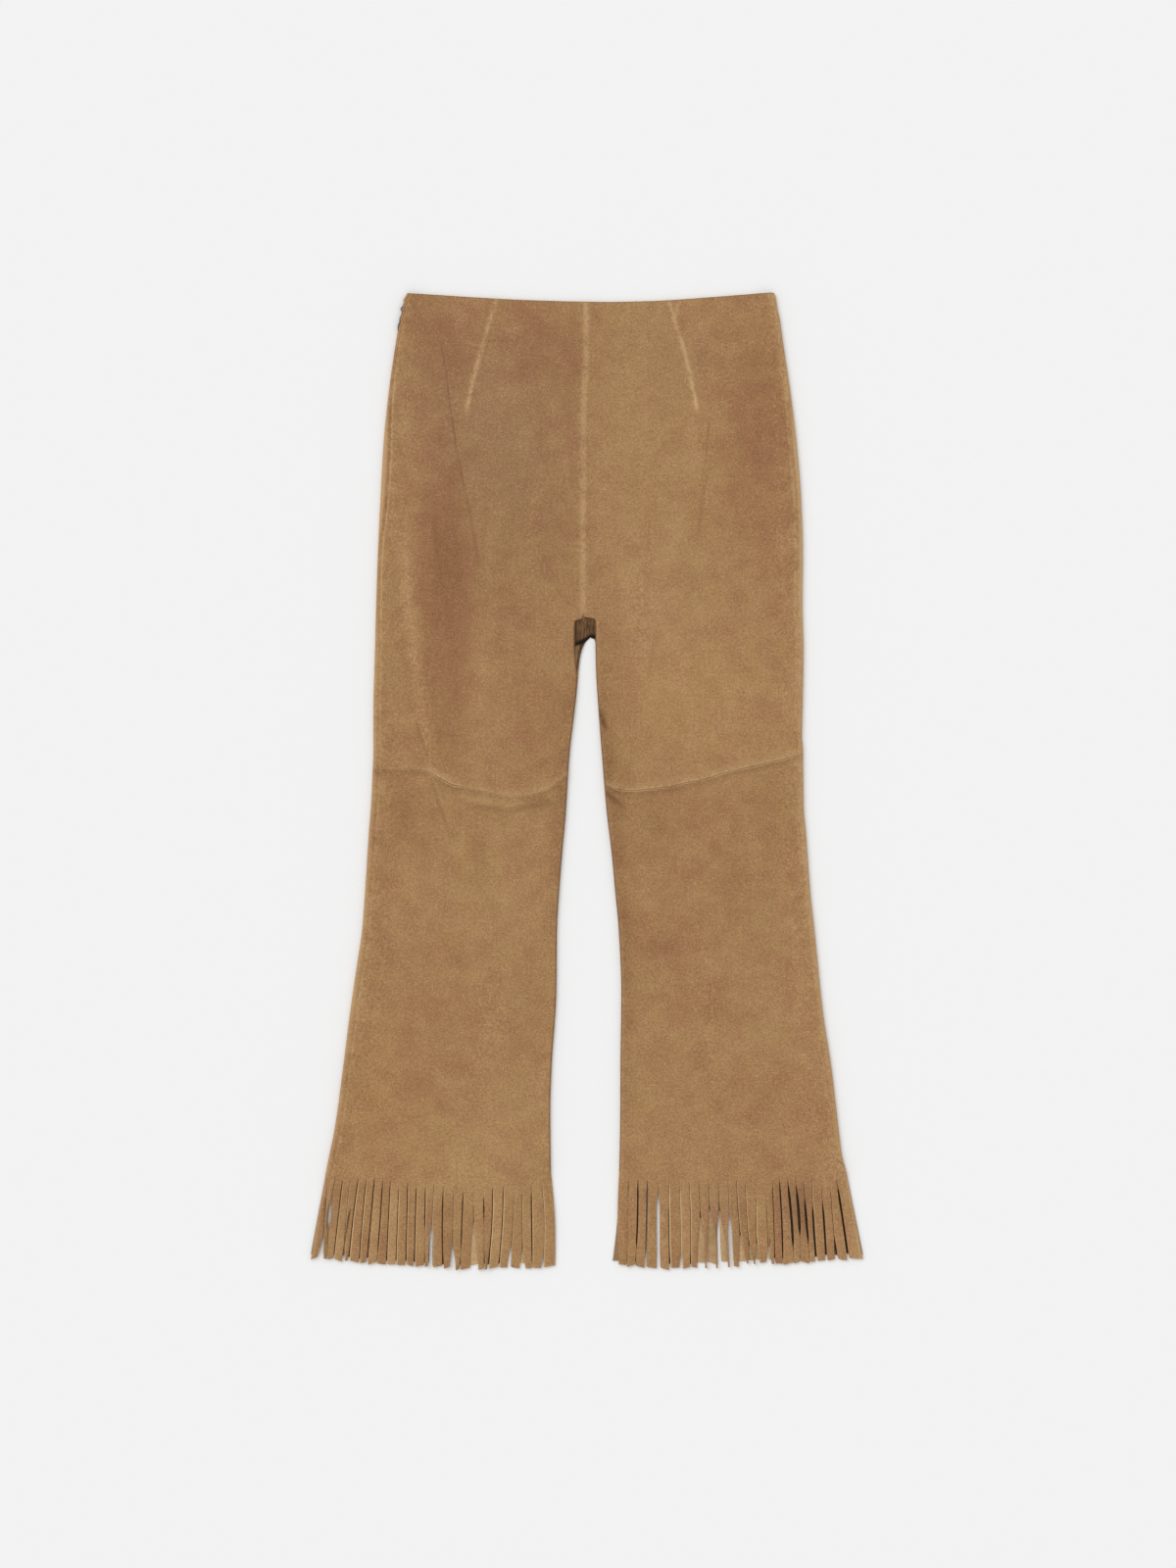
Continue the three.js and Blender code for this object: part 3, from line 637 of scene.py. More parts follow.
def cloth_marks(leg, layer, x, drop, shade=0):
    """What the suede's finish follows. Seams: distances to the inner seam, the knee seam and the side seam.
    Wear: how pale each of them is rubbed; the side seam's also sets how strong the painted light round the
    side
    fold is. Dart: its distance, its wear and the patches' redness. Crease: its distance in widths, its depth,
    and
    the painted shade. Tone: the patches' and streaks' darkness with the painted shade along the legs' inner
    edges and the painted light along the side folds, the waist's distance, and 1 along the legs' inner edges,
    where a
    line of painted shade is drawn. Face: 1 on the flesh side, how much pale cut leather with painted light
    shows, both set by the caller, and how dusty the colour is."""
    side = SIDES[leg]
    seen = 1 if layer == "front" else -1  # the hidden side's patches and creases are the seen ones mirrored
    inner = side * (x - inner_edge[layer][leg](drop))
    outer = side_seam(leg, drop) - side * x
    knee = drop - knee_seam(x)
    fork = smoothstep(drop, 312, 319)
    rubbed = CENTRE_WEAR["worn"] * bell(drop[..., None] - CENTRE_WEAR["drop"], CENTRE_WEAR["reach"])
    centre_worn = (CENTRE_WORN + rubbed.sum(-1)) * (1 - fork) + EDGE_WORN[leg] * fork
    # How much the side seam is rubbed pale; it also sets the painted light round the side fold
    side_wear_and_fold_light = 0.2 + 0.35 * smoothstep(drop, 60, 110) * (1 - smoothstep(drop, 260, 420))
    dart = side * (x - dart_line[leg](drop))
    dart_worn = (0.72 + 0.28 * smoothstep(drop, 78, 108)) * (1 - smoothstep(drop, DART_END - 8, DART_END + 4))
    dart_worn = dart_worn * (layer == "front" or drop < BACK_DART_END)
    red = in_ovals(PATCHES, "red", seen * x, drop)
    dark = in_ovals(PATCHES, "dark", seen * x, drop) - on_lines(STREAKS, "pale", seen * x, drop, 0.7)
    # Painted shade along the legs' inner edges below the fork, and painted light along the side folds
    dark = dark + painted_edge_shade_and_light[f"inner_{leg}"](drop) * bell(inner, INNER_SHADE_WIDTH) * fork
    dark = dark - painted_edge_shade_and_light[f"fold_{leg}"](drop) * bell(outer + side_wrap[leg](drop) - 3, FOLD_LIGHT_WIDTH)
    share, across = along_lines(CREASES, seen * x, drop)  # the strongest crease at each place counts
    strength = CREASES["depth"] * np.sin(np.pi * share) ** 0.6 * bell(across, 3 * CREASES["width"])
    nearest = strength.argmax(-1)[..., None]
    crease = np.take_along_axis(across / CREASES["width"], nearest, -1)[..., 0]
    depth = np.take_along_axis(strength, nearest, -1)[..., 0]
    waist = drop - waist_drop(x)

    def mark(*columns):
        return np.stack(np.broadcast_arrays(*columns), -1)

    return {
        "seams": mark(inner, knee, outer),
        "wear": mark(centre_worn, knee_worn(x), side_wear_and_fold_light),
        "dart": mark(dart, dart_worn, red),
        "crease": mark(crease, depth, shade),
        "tone": mark(dark, waist, fork if layer == "front" else 0),
        "face": mark(0, 0, in_ovals(DUSTY, "dusty", seen * x, drop)),
    }


def panel(name, leg, layer, wall, u, levels, drop_at):
    """A panel of suede: its outer face on a grid, and the inner face one wall inside it. Gives the piece, the
    size of its cut and its area."""
    side = SIDES[leg]
    level, column = np.meshgrid(levels, u, indexing="ij")
    out, _ = wall(leg, column, level)
    drop = drop_at(level, side * out)
    out, up = wall(leg, column, drop)
    outer = np.stack([side * out, LENGTH / 2 - drop, up], -1)
    normal = grid_normals(outer)
    normal *= np.sign(normal[..., 2].sum()) * (1 if layer == "front" else -1)
    inner = outer - WALL * normal
    shade = fork_shade(side * out, drop) if layer == "back" else 0
    marks = cloth_marks(leg, layer, side * out, drop, shade)
    marks = {mark: np.concatenate([values.reshape(-1, 3)] * 2) for mark, values in marks.items()}
    marks["face"][:, 0] = np.repeat((0, 1), drop.size)
    points = np.concatenate([outer.reshape(-1, 3), inner.reshape(-1, 3)])
    piece = make_mesh(name, points, wall_quads(*drop.shape), marks)
    width = np.linalg.norm(np.diff(outer, axis=1), axis=-1).sum(1).max()
    diagonals = outer[1:, 1:] - outer[:-1, :-1], outer[1:, :-1] - outer[:-1, 1:]
    area = np.linalg.norm(np.cross(*diagonals), axis=-1).sum() / 2
    return piece, (width * MM, np.ptp(drop) * MM), area * MM**2


NEVER = 999  # a drop below all

# The cuts of the fringe, from the picture's left to its right; the first and the last row of a leg are its
# edges. Root and tip are where a cut starts and ends across the garment, start is its drop, and bow how far
# it swings in between. Gap is how wide it comes to stand open, from the drop opens to the drop closes. Pale
# is how much pale cut leather shows on the strand to its right, along its edge that faces the key light:
# partly the cut leather's own colour, partly painted light.
CUT_COLUMNS = "root start tip bow gap opens closes pale"
RIGHT_CUTS = table(
    CUT_COLUMNS,
    (-255, 864, -269.8, 0, 0, NEVER, NEVER, 0.3),
    (-253.9, 866, -260.4, 1.4, 5.6, 917, NEVER, 0.2),
    (-244.9, 865, -253.8, -1.9, 2.1, 885, 921, 0.1),
    (-237.9, 868, -247.7, 0, 0.5, 868, NEVER, 0.6),
    (-230.9, 867, -238, -0.6, 1.9, 928, NEVER, 0.5),
    (-222.4, 866, -232.6, -0.8, 0.7, 866, NEVER, 1),
    (-214.8, 867, -222.4, -0.5, 0.5, 867, NEVER, 0.9),
    (-207, 866, -214.8, 0, 0.9, 866, NEVER, 0.1),
    (-198.9, 869, -205.2, 0.3, 0.9, 869, 945, 0.3),
    (-191.6, 869, -195.8, 0, 0.6, 869, NEVER, 0.5),
    (-183.2, 877, -186.6, 0, 0.4, 877, NEVER, 0.8),
    (-174.7, 870, -176.8, 0, 0.6, 870, NEVER, 0.6),
    (-166.2, 875, -168.6, 0, 0.8, 875, NEVER, 0.5),
    (-157.4, 875, -158.6, 0, 0.8, 875, 922, 0.9),
    (-148.3, 873, -152.4, -0.7, 3.4, 908, NEVER, 0.35),
    (-139.4, 875, -140.4, -1.2, 0.9, 880, NEVER, 0),
    (-129, 881, -130.8, -0.9, 4.4, 926, NEVER, 0),
    (-120, 880, -123.6, 0, 0.9, 880, 942, 0.1),
    (-110.9, 896, -109.9, 0, 7.2, 902, NEVER, 0.2),
    (-100.8, 885, -99.8, 0, 1, 885, 914, 0),
    (-91.8, 875, -96.2, 1.6, 0.6, 875, NEVER, 0.8),
    (-81.6, 876, -86, 1.6, 0.6, 876, NEVER, 0.7),
    (-71.3, 884, -75.8, 1.8, 2.3, 928, NEVER, 0.2),
    (-63.4, 882, -62.6, 0, 5.2, 928, NEVER, 0.4),
    (-54.2, 875, -53, 0, 0.9, 878, 950, 0.4),
    (-45.2, 873, -42.9, 2.8, 1.7, 940, NEVER, 0.5),
    (-34, 864, -30.7, 1.8, 0, NEVER, NEVER, 0),
)
LEFT_CUTS = table(
    CUT_COLUMNS,
    (32, 864, 31.8, -1.4, 0, NEVER, NEVER, 0.1),
    (41.3, 868, 39.8, 0, 0.5, 869, 888, 0),
    (50.4, 867, 47.9, 0.9, 1.1, 868, 940, 0),
    (59.8, 867, 57.9, 0.3, 1.1, 868, NEVER, 0.05),
    (70.4, 874, 70.6, -0.2, 2.7, 878, NEVER, 0),
    (80.9, 870, 81.8, -0.6, 0.5, 892, NEVER, 1),
    (90.8, 874, 92.8, 0.3, 1.9, 938, NEVER, 0.8),
    (100.2, 872, 101.9, 1, 0.2, 890, NEVER, 0.8),
    (109.4, 870, 112.3, 0.8, 6.8, 896, NEVER, 0.1),
    (119, 870, 122.9, 0.2, 8.4, 888, NEVER, 0.1),
    (128.8, 872, 134, -0.6, 10.4, 888, NEVER, 0),
    (138.2, 870, 142, 0, 3.8, 898, NEVER, 0.2),
    (146.4, 869, 153.4, -0.6, 7, 914, NEVER, 0.5),
    (155.3, 871, 161.3, -1, 5.2, 924, NEVER, 0.5),
    (166, 886, 167.4, -0.4, 3.8, 922, NEVER, 0.7),
    (174.8, 888, 178.8, 0, 4.4, 926, NEVER, 0.1),
    (181.4, 870, 184.5, 0.5, 0.3, 874, NEVER, 0),
    (188.4, 866, 192.4, 0.8, 1, 868, 950, 0),
    (196, 868, 203, 1.2, 1.9, 869, 940, 0),
    (203.6, 867, 209.2, 1.8, 2.1, 872, 928, 0),
    (212, 870, 218.8, -0.2, 1.5, 884, 936, 0),
    (220.2, 867, 225.2, -0.6, 1.5, 890, 960, 0.4),
    (228.8, 876, 235, 0.4, 1.5, 888, NEVER, 0.1),
    (237.9, 880, 245, -0.6, 2.3, 922, NEVER, 0.1),
    (243.6, 868, 256.4, 0.4, 1.6, 872, NEVER, 0),
    (256, 864, 270.7, 0, 0, NEVER, NEVER, 0),
)
CUTS = {"right": RIGHT_CUTS, "left": LEFT_CUTS}

# Where a cut of the front lies over one of the back, so that the surface below shows through both
OPENINGS = table(
    "tip gap opens",
    (-260.4, 5.6, 917),
    (-253.8, 2.4, 884),
    (-238, 2.2, 926),
    (-152.4, 2.6, 906),
    (-130.8, 4.6, 926),
    (-75.8, 2.4, 928),
    (-42.9, 1.8, 940),
    (58.2, 1.6, 936),
    (70.6, 2.9, 877),
    (92.8, 2.2, 934),
    (130.6, 2.6, 890),
    (142.2, 3.8, 900),
    (179.3, 4.4, 924),
)
OPENING_REACH = 6  # a cut of the front this near belongs to the opening
NARROWEST_BACK = 5
BACK_SLIT = 0.8
BACK_EDGE_TIP = {"right": -32, "left": 25.8}  # the back's innermost strand of the left leg swings out
BACK_EDGE_BOW = {"right": 1.4, "left": 1.6}
SLIT_SHADE = {"right": 1.0, "left": 1.55}
INMOST_SLIT_SHADE = 0.42

STRAND_WALL = 1.1
STRAND_BEVEL = 0.35
HAIR_CUT = 0.38  # the width of a cut that has closed again
TIP_FLARE = 0.6  # the strands' ends part this much more
LOWEST_TIP = 957.3
TIP_SPREAD = 0.5
SLANT_SPREAD = 0.8
TILT_SPREAD = 2.2  # in degrees
RAGGED = 0.45
STRAND_STEPS = 30
STRAND_RING = np.array([-1, -0.88, -0.72, 0.84, 1])
FRINGE_LAYER = {
    "front": {"rest": 2.75, "seed": 11, "shorter": 0, "sway": 0.25},
    "back": {"rest": STRAND_WALL + 0.1, "seed": 23, "shorter": 4.5, "sway": 0.1},
}
TWIST_FROM, TWIST_TO = 0.3, 0.8  # a strand that seems to lose this share of its width turns edge-on
FULL_TWIST = math.radians(72)
NARROWEST_SEEN = 0.9
NARROWEST_STRAND = 0.8
FLOOR_CLEARANCE = 0.02
NO_SEAM = 60  # a distance at which no seam is rubbed: the strands have none
CUT_SIDE_SHADE = 0.55
DARK_SPREAD = 0.3
RED_SPREAD = 0.25


def pick(cuts, rows):
    """The same rows of each column of a table of cuts."""
    return {column: values[rows] for column, values in cuts.items()}


def layer_cuts(leg, layer):
    """The cuts of one layer. The back's lie behind the middle of the front's strands, but where both are open
    they lie at the same place."""
    front = CUTS[leg]
    cuts = {column: values.copy() for column, values in front.items()}
    edges = [side_fold(leg, HEM), inner_edge["front"][leg](HEM) + SIDES[leg] * SEAM_GAP / 2]
    cuts["root"][[0, -1]] = sorted(float(edge) for edge in edges)
    if layer == "front":
        return cuts
    nearest = np.abs(front["tip"][:, None] - OPENINGS["tip"]).argmin(1)
    through = np.abs(front["tip"] - OPENINGS["tip"][nearest]) < OPENING_REACH
    for column in ("tip", "gap", "opens"):
        cuts[column] = np.where(through, OPENINGS[column][nearest], front[column])
    halfway = ~through
    halfway[[0, -1]] = False
    after = np.roll(np.arange(len(halfway)), -1)
    for column in ("root", "tip", "bow"):
        cuts[column] = np.where(halfway, (front[column] + front[column][after]) / 2, cuts[column])
    cuts["gap"] = np.where(halfway, BACK_SLIT, cuts["gap"])
    cuts["opens"] = np.where(halfway, cuts["start"], cuts["opens"])
    inmost = -1 if leg == "right" else 0
    cuts["tip"][inmost] = BACK_EDGE_TIP[leg]
    cuts["bow"][inmost] = BACK_EDGE_BOW[leg]
    cuts["pale"][:] = 0
    from_opening = np.abs(cuts["tip"][:, None] - OPENINGS["tip"]).min(1)
    return pick(cuts, ~halfway | (from_opening > NARROWEST_BACK))


def cut_sides(cuts, t, drop):
    """Each cut's middle, and half the width that it stands open: a hair's width from its start on, its gap
    between the drops at which it opens and closes, and a flare at the strands' ends."""
    cut = pick(cuts, (slice(None), None))
    middle = cut["root"] + (cut["tip"] - cut["root"]) * t + cut["bow"] * np.sin(np.pi * t)
    open_once = cut["opens"] < NEVER
    opening = smoothstep(drop, cut["opens"], cut["opens"] + 8 + 5 * cut["gap"])
    closing = 1 - smoothstep(drop, cut["closes"] - 14, cut["closes"])
    hair = HAIR_CUT * smoothstep(drop, cut["start"], cut["start"] + 3) * (0.25 + 0.75 * closing)
    flare = TIP_FLARE * smoothstep(drop, 938, 952)
    return middle, ((hair + flare) * open_once + cut["gap"] * opening * closing) / 2


def hem_top(leg, out):
    """Upper face of the front at the fringe's root, rounded off at the leg's inner edge and at the fold."""
    side = SIDES[leg]
    reach, _ = turned_end("front", HEM, 1)
    flat_start = side * inner_edge["front"][leg](HEM) + reach
    fold_start = side * side_fold(leg, HEM) - FOLD_RADIUS
    top = front_top(leg, np.clip(out, flat_start, fold_start), np.full_like(out, HEM))
    inner = np.clip(flat_start - out, 0, reach)
    outer = np.clip(out - fold_start, 0, FOLD_RADIUS)
    return top - (reach - np.sqrt(reach**2 - inner**2)) - (FOLD_RADIUS - np.sqrt(FOLD_RADIUS**2 - outer**2))


def fringe(name, leg, layer):
    """A hem's strands, each a flat ribbon between two cuts. A strand that narrows strongly turns edge-on
    instead, so its real width stays. Its ends are cut slightly aslant. Shape: strands, rings, ten points."""
    side, style = SIDES[leg], FRINGE_LAYER[layer]
    random = np.random.default_rng(style["seed"] + side)
    cuts = layer_cuts(leg, layer)
    count = len(cuts["root"]) - 1
    tips = (cuts["tip"][1:] + cuts["tip"][:-1]) / 2
    ends = np.minimum(fringe_tip(tips), LOWEST_TIP) - style["shorter"] + random.normal(0, TIP_SPREAD, count)
    t = np.linspace(0, 1, STRAND_STEPS)[None, :]
    drop = HEM + (ends[:, None] - HEM) * t

    left_middle, left_half = cut_sides(pick(cuts, slice(0, -1)), t, drop)
    right_middle, right_half = cut_sides(pick(cuts, slice(1, None)), t, drop)
    left, right = left_middle + left_half, right_middle - right_half
    seen = np.maximum(right - left, NARROWEST_SEEN)
    whole = seen.max(1, keepdims=True)
    angle = FULL_TWIST * smoothstep(1 - seen / whole, TWIST_FROM, TWIST_TO) * smoothstep(t, 0.2, 0.4)
    angle = angle * random.choice([-1, 1], (count, 1))
    half = np.maximum(seen - STRAND_WALL * np.abs(np.sin(angle)), NARROWEST_STRAND) / np.cos(angle) / 2

    def each(values):
        """One value for each strand, over its rings and points."""
        return values[:, None, None]

    ring = np.concatenate([STRAND_RING, STRAND_RING[::-1]])[None, None, :]
    top = np.repeat([1, 0], len(STRAND_RING))[None, None, :]
    rim = np.abs(ring) == 1
    centre, along = ((left + right) / 2)[..., None], t[..., None]
    half, angle = half[..., None], angle[..., None]
    across = ring * half
    depth = (top - 0.5) * STRAND_WALL - STRAND_BEVEL * rim * (2 * top - 1)
    x = centre + across * np.cos(angle) - depth * np.sin(angle)
    wave = each(random.uniform(0, 6, count)) + along * each(random.uniform(3, 7, count))
    middle = style["rest"] + style["sway"] * np.sin(wave) - STRAND_WALL / 2 + half * np.abs(np.sin(angle))
    tilt = each(np.radians(random.normal(0, TILT_SPREAD, count)))
    free = middle + across * np.sin(angle + tilt * along) + depth * np.cos(angle)
    if layer == "front":
        tucked = STRAND_WALL * (1 - top) + STRAND_BEVEL * rim * top * (along > 0.15)
        root = hem_top(leg, side * x) - tucked
    else:
        root = STRAND_WALL * top + 0 * x
    up = np.maximum(root + (free - root) * smoothstep(along, 0.05, 0.45), FLOOR_CLEARANCE)
    slant = each(random.normal(0, SLANT_SPREAD, count))
    ragged = RAGGED * np.sin(ring * 4.3 + each(np.arange(count)))
    fall = drop[..., None] + (slant * ring + ragged) * smoothstep(along, 0.93, 1) * np.cos(angle)

    points = np.stack(np.broadcast_arrays(x, LENGTH / 2 - fall, up), -1)
    around = ring.size
    index = np.arange(count * STRAND_STEPS * around).reshape(count, STRAND_STEPS, around)
    after = np.roll(index, -1, axis=2)
    walls = np.stack([index[:, :-1], after[:, :-1], after[:, 1:], index[:, 1:]], -1).reshape(-1, 4)
    caps = []
    for i in range(len(STRAND_RING) - 1):
        opposite = around - 1 - i
        caps.append(index[:, 0][:, [i, opposite, opposite - 1, i + 1]])
        caps.append(index[:, -1][:, [i, i + 1, opposite - 1, opposite]])
    quads = np.concatenate([walls, *caps])

    # Shade lies in the cuts: on the front's cut sides, and on the back where the front's cuts are narrow
    if layer == "front":
        flesh = 1 - top
        shade = CUT_SIDE_SHADE * (1 - top) * rim
    else:
        flesh = top
        front_cuts = layer_cuts(leg, "front")
        above = pick(front_cuts, np.abs(front_cuts["tip"] - tips[:, None]).argmin(1))
        _, over = cut_sides(above, t, drop)
        inmost = np.arange(count) == (count - 1 if leg == "right" else 0)
        deepest = np.where(inmost, INMOST_SLIT_SHADE, SLIT_SHADE[leg])[:, None]
        widest = np.where(above["gap"] < 3, 1.2, 0.45)[:, None]
        shade = (deepest * (1 - smoothstep(over / widest, 0.9, 1.8)))[..., None] * top
    flat = points.reshape(-1, 3)
    shade = np.broadcast_to(shade, x.shape).ravel()
    marks = cloth_marks(leg, layer, flat[:, 0], LENGTH / 2 - flat[:, 1], shade)
    marks["seams"][:, 0] = NO_SEAM
    own = smoothstep(along, 0.05, 0.5) * np.ones_like(x)
    marks["tone"][:, 0] += (own * each(random.normal(0, DARK_SPREAD, count))).ravel()
    marks["dart"][:, 2] += (own * each(random.normal(0, RED_SPREAD, count))).ravel()
    # Pale cut leather along each strand's left edge, the one that faces the key light: partly the leather's
    # own colour, partly painted light
    start = cuts["start"][:-1, None]
    cut_leather_and_lit_edge = (cuts["pale"][:-1, None] * smoothstep(drop, start, start + 14))[..., None]
    cut_leather_and_lit_edge = cut_leather_and_lit_edge * top * np.interp(ring, (-1, -0.88, -0.72), (1, 0.9, 0))
    marks["face"][:, 0] = np.broadcast_to(flesh, x.shape).ravel()
    marks["face"][:, 1] = cut_leather_and_lit_edge.ravel()
    return make_mesh(name, flat, quads, marks)


ZIP_TAPE_TOP, ZIP_TAPE_END = 9, 190
TAPE_STRETCH = 5
TOOTH_PITCH = 1.5


def zip_edge(name):
    """The concealed zip: its tape under the side fold, and the row of teeth that shows at the top of it. The
    tape is a row of thin blocks and each tooth a small one, at the side fold's line. Where the photo shows
    the edge bulge, at two places, the teeth reach further out."""
    blocks = []

    def block(x, drop, z, half_x, half_drop, half_z):
        corner = np.array([(-1, -1, -1), (1, -1, -1), (1, 1, -1), (-1, 1, -1)], float)
        corner = np.concatenate([corner, corner * (1, 1, -1)])
        blocks.append(np.array([x, LENGTH / 2 - drop, z]) + corner * (half_x, half_drop, half_z))

    for start in np.arange(ZIP_TAPE_TOP, ZIP_TAPE_END, TAPE_STRETCH):
        drop = start + TAPE_STRETCH / 2
        block(side_fold("right", drop) + 5.6, drop, 3.2, 2.8, TAPE_STRETCH / 2, 0.4)
    for drop in np.arange(12, ZIP_OPENING[1] - 1, TOOTH_PITCH):
        out = 0.35 + 1.1 * bell(drop - 16.5, 1.8) + 1.2 * bell(drop - 32, 2.8)
        block(side_fold("right", drop) + 0.9 - out, drop, 2.9, 0.9, TOOTH_PITCH / 3, 1.1)
    points = np.concatenate(blocks)
    box = np.array([(0, 3, 2, 1), (4, 5, 6, 7), (0, 1, 5, 4), (1, 2, 6, 5), (2, 3, 7, 6), (3, 0, 4, 7)])
    quads = (np.arange(len(blocks))[:, None, None] * 8 + box).reshape(-1, 4)
    piece = make_mesh(name, points, quads, {})
    piece.data.shade_flat()
    return piece


def linear(colour):
    """An sRGB hex colour as linear red, green, blue and alpha."""
    values = np.array([int(colour[i : i + 2], 16) for i in (1, 3, 5)]) / 255
    values = np.where(values <= 0.04045, values / 12.92, ((values + 0.055) / 1.055) ** 2.4)
    return (*values.tolist(), 1.0)


def new_material(name, inputs):
    """A material, and its shader with the given inputs set."""
    material = bpy.data.materials.new(name)
    material.use_nodes = True
    shader = material.node_tree.nodes["Principled BSDF"]
    for key, value in inputs.items():
        shader.inputs[key].default_value = value
    return material, shader


def plain(name, colour, roughness, specular):
    """A material of one colour."""
    inputs = {"Base Color": linear(colour), "Roughness": roughness, "Specular IOR Level": specular}
    return new_material(name, inputs)[0]


def add(tree, kind, inputs=(), **settings):
    """Adds a node with its settings, and sets or links its inputs."""
    made = tree.nodes.new(kind)
    for key, value in settings.items():
        setattr(made, key, value)
    for key, value in dict(inputs).items():
        if isinstance(value, bpy.types.NodeSocket):
            tree.links.new(value, made.inputs[key])
        else:
            made.inputs[key].default_value = value
    return made


FACTOR, FIRST, SECOND, MIXED = 0, 6, 7, 2  # sockets of a colour Mix node
# shaded, shaded_pale and darkest paint shade. deep is the nap's darker tone and also paints lines of shade;
# pale is the nap's lighter tone and rubbed wear, and also paints light round the side folds; cut is the cut
# leather's colour, also painting light on the strands' edges that face the key light.
SUEDE = {
    "golden": "#A68156",
    "russet": "#9B704E",
    "pale": "#CBA97C",
    "deep": "#68452C",
    "dusty": "#7A5A56",
    "honey": "#B0803A",
    "flesh": "#B4936A",
    "flesh_pale": "#C6A77F",
    "cut": "#D0B184",
    "shaded": "#493320",
    "shaded_pale": "#76573A",
    "darkest": "#150D08",
    "sheen": "#E8CFA8",
}


def split_suede(name):
    """Brushed split suede. The nap is made by sanding the hide's inner split, so it is dull, soft and lies in
    patches that catch the light differently; seams and edges rub paler, and the unbrushed flesh side is
    paler. Shade and light are also painted into its colour: painted shade in the creases, under the knee
    seam, along the waist's edge and the legs' inner edges, in the fork and in the fringe's cuts, and painted
    light round the side folds and on the strands' edges that face the key light."""
    paint = {tone: linear(colour) for tone, colour in SUEDE.items()}
    surface = {"Roughness": 0.95, "Specular IOR Level": 0.12, "Sheen Weight": 0.2, "Sheen Roughness": 0.6}
    material, shader = new_material(name, {**surface, "Sheen Tint": paint["sheen"]})
    tree = material.node_tree
    place = add(tree, "ShaderNodeTexCoord").outputs["Object"]
    tall = add(tree, "ShaderNodeMapping", {0: place, "Scale": (1.0, 0.45, 1.0)}).outputs[0]
    brushed = add(tree, "ShaderNodeMapping", {0: place, "Scale": (1.0, 0.12, 1.0)}).outputs[0]

    def noise(where, size_mm, detail, roughness=0.5):
        """Noise about zero, with features of a real size in millimetres."""
        inputs = {"Vector": where, "Scale": 1 / (size_mm * MM), "Detail": detail, "Roughness": roughness}
        return calc("SUBTRACT", add(tree, "ShaderNodeTexNoise", inputs).outputs["Fac"], 0.5)

    def calc(operation, a, b=0.0, c=0.0):
        return add(tree, "ShaderNodeMath", {0: a, 1: b, 2: c}, operation=operation).outputs[0]

    def chain(operation, *values):
        """One operation carried on through all the values."""
        result = values[0]
        for value in values[1:]:
            result = calc(operation, result, value)
        return result

    def weigh(*terms):
        """The sum of values, each times its weight."""
        total = 0.0
        for value, weight in terms:
            total = calc("MULTIPLY_ADD", value, weight, total)
        return total

    def remap(value, low, high, to_low=0.0, to_high=1.0):
        inputs = {0: value, 1: low, 2: high, 3: to_low, 4: to_high}
        return add(tree, "ShaderNodeMapRange", inputs, interpolation_type="SMOOTHSTEP").outputs[0]

    def ramp(value, end):
        """The value's share of the way from 0 to the end, straight and held at both."""
        return add(tree, "ShaderNodeMapRange", {0: value, 1: 0.0, 2: end}).outputs[0]

    def mix(factor, first, second):
        inputs = {FACTOR: factor, FIRST: first, SECOND: second}
        return add(tree, "ShaderNodeMix", inputs, data_type="RGBA").outputs[MIXED]

    def mark(attribute):
        found = add(tree, "ShaderNodeAttribute", attribute_name=attribute).outputs["Vector"]
        return add(tree, "ShaderNodeSeparateXYZ", {0: found}).outputs

    inner, knee, outer = mark("seams")
    centre_worn, knee_rubbed, side_wear_and_fold_light = mark("wear")
    dart, dart_worn, red = mark("dart")
    crease, crease_depth, shade = mark("crease")
    dark, waist, rim = mark("tone")
    flesh_side, cut, dusty = mark("face")

    broad = noise(tall, 80, 2)
    cloud = noise(place, 17, 2, 0.6)
    streak = noise(brushed, 6, 2, 0.6)
    nap = noise(place, 3.3, 2, 0.6)
    grain = noise(place, 1.5, 2, 0.6)
    hue = noise(place, 26, 2, 0.6)

    turn = weigh((red, 0.55), (broad, 0.9), (hue, 1.7), (streak, 0.8), (nap, 0.4))
    colour = mix(remap(turn, -0.55, 0.75), paint["golden"], paint["russet"])
    colour = mix(ramp(dusty, 5.0), colour, paint["dusty"])
    colour = mix(ramp(dusty, -6.0), colour, paint["honey"])
    # dark holds the patches' and streaks' darkness with the painted shade along the legs' inner edges and the
    # painted light along the side folds
    light = weigh((dark, -0.25), (broad, 0.3), (cloud, 0.42), (streak, 0.3), (nap, 0.8), (grain, 1.65))
    colour = mix(ramp(light, 1.0), colour, paint["pale"])
    colour = mix(ramp(light, -1.0), colour, paint["deep"])

    # Ridges rubbed pale: a soft band with a thin core, uneven along its length; and painted light on the lap
    # round the side fold
    uneven = remap(weigh((nap, 1.0), (cloud, 1.2)), -0.3, 0.14, 0.3, 1.0)
    wiggle = calc("MULTIPLY", cloud, 1.5)

    def ridge(distance, reach, worn, core=0.3, sway=1.0):
        away = calc("ABSOLUTE", calc("MULTIPLY_ADD", wiggle, sway, distance))
        band = calc("ADD", remap(away, 0.4, reach, 0.58, 0.0), remap(away, 0.2, reach * 0.4, core, 0.0))
        return chain("MULTIPLY", band, worn, uneven)

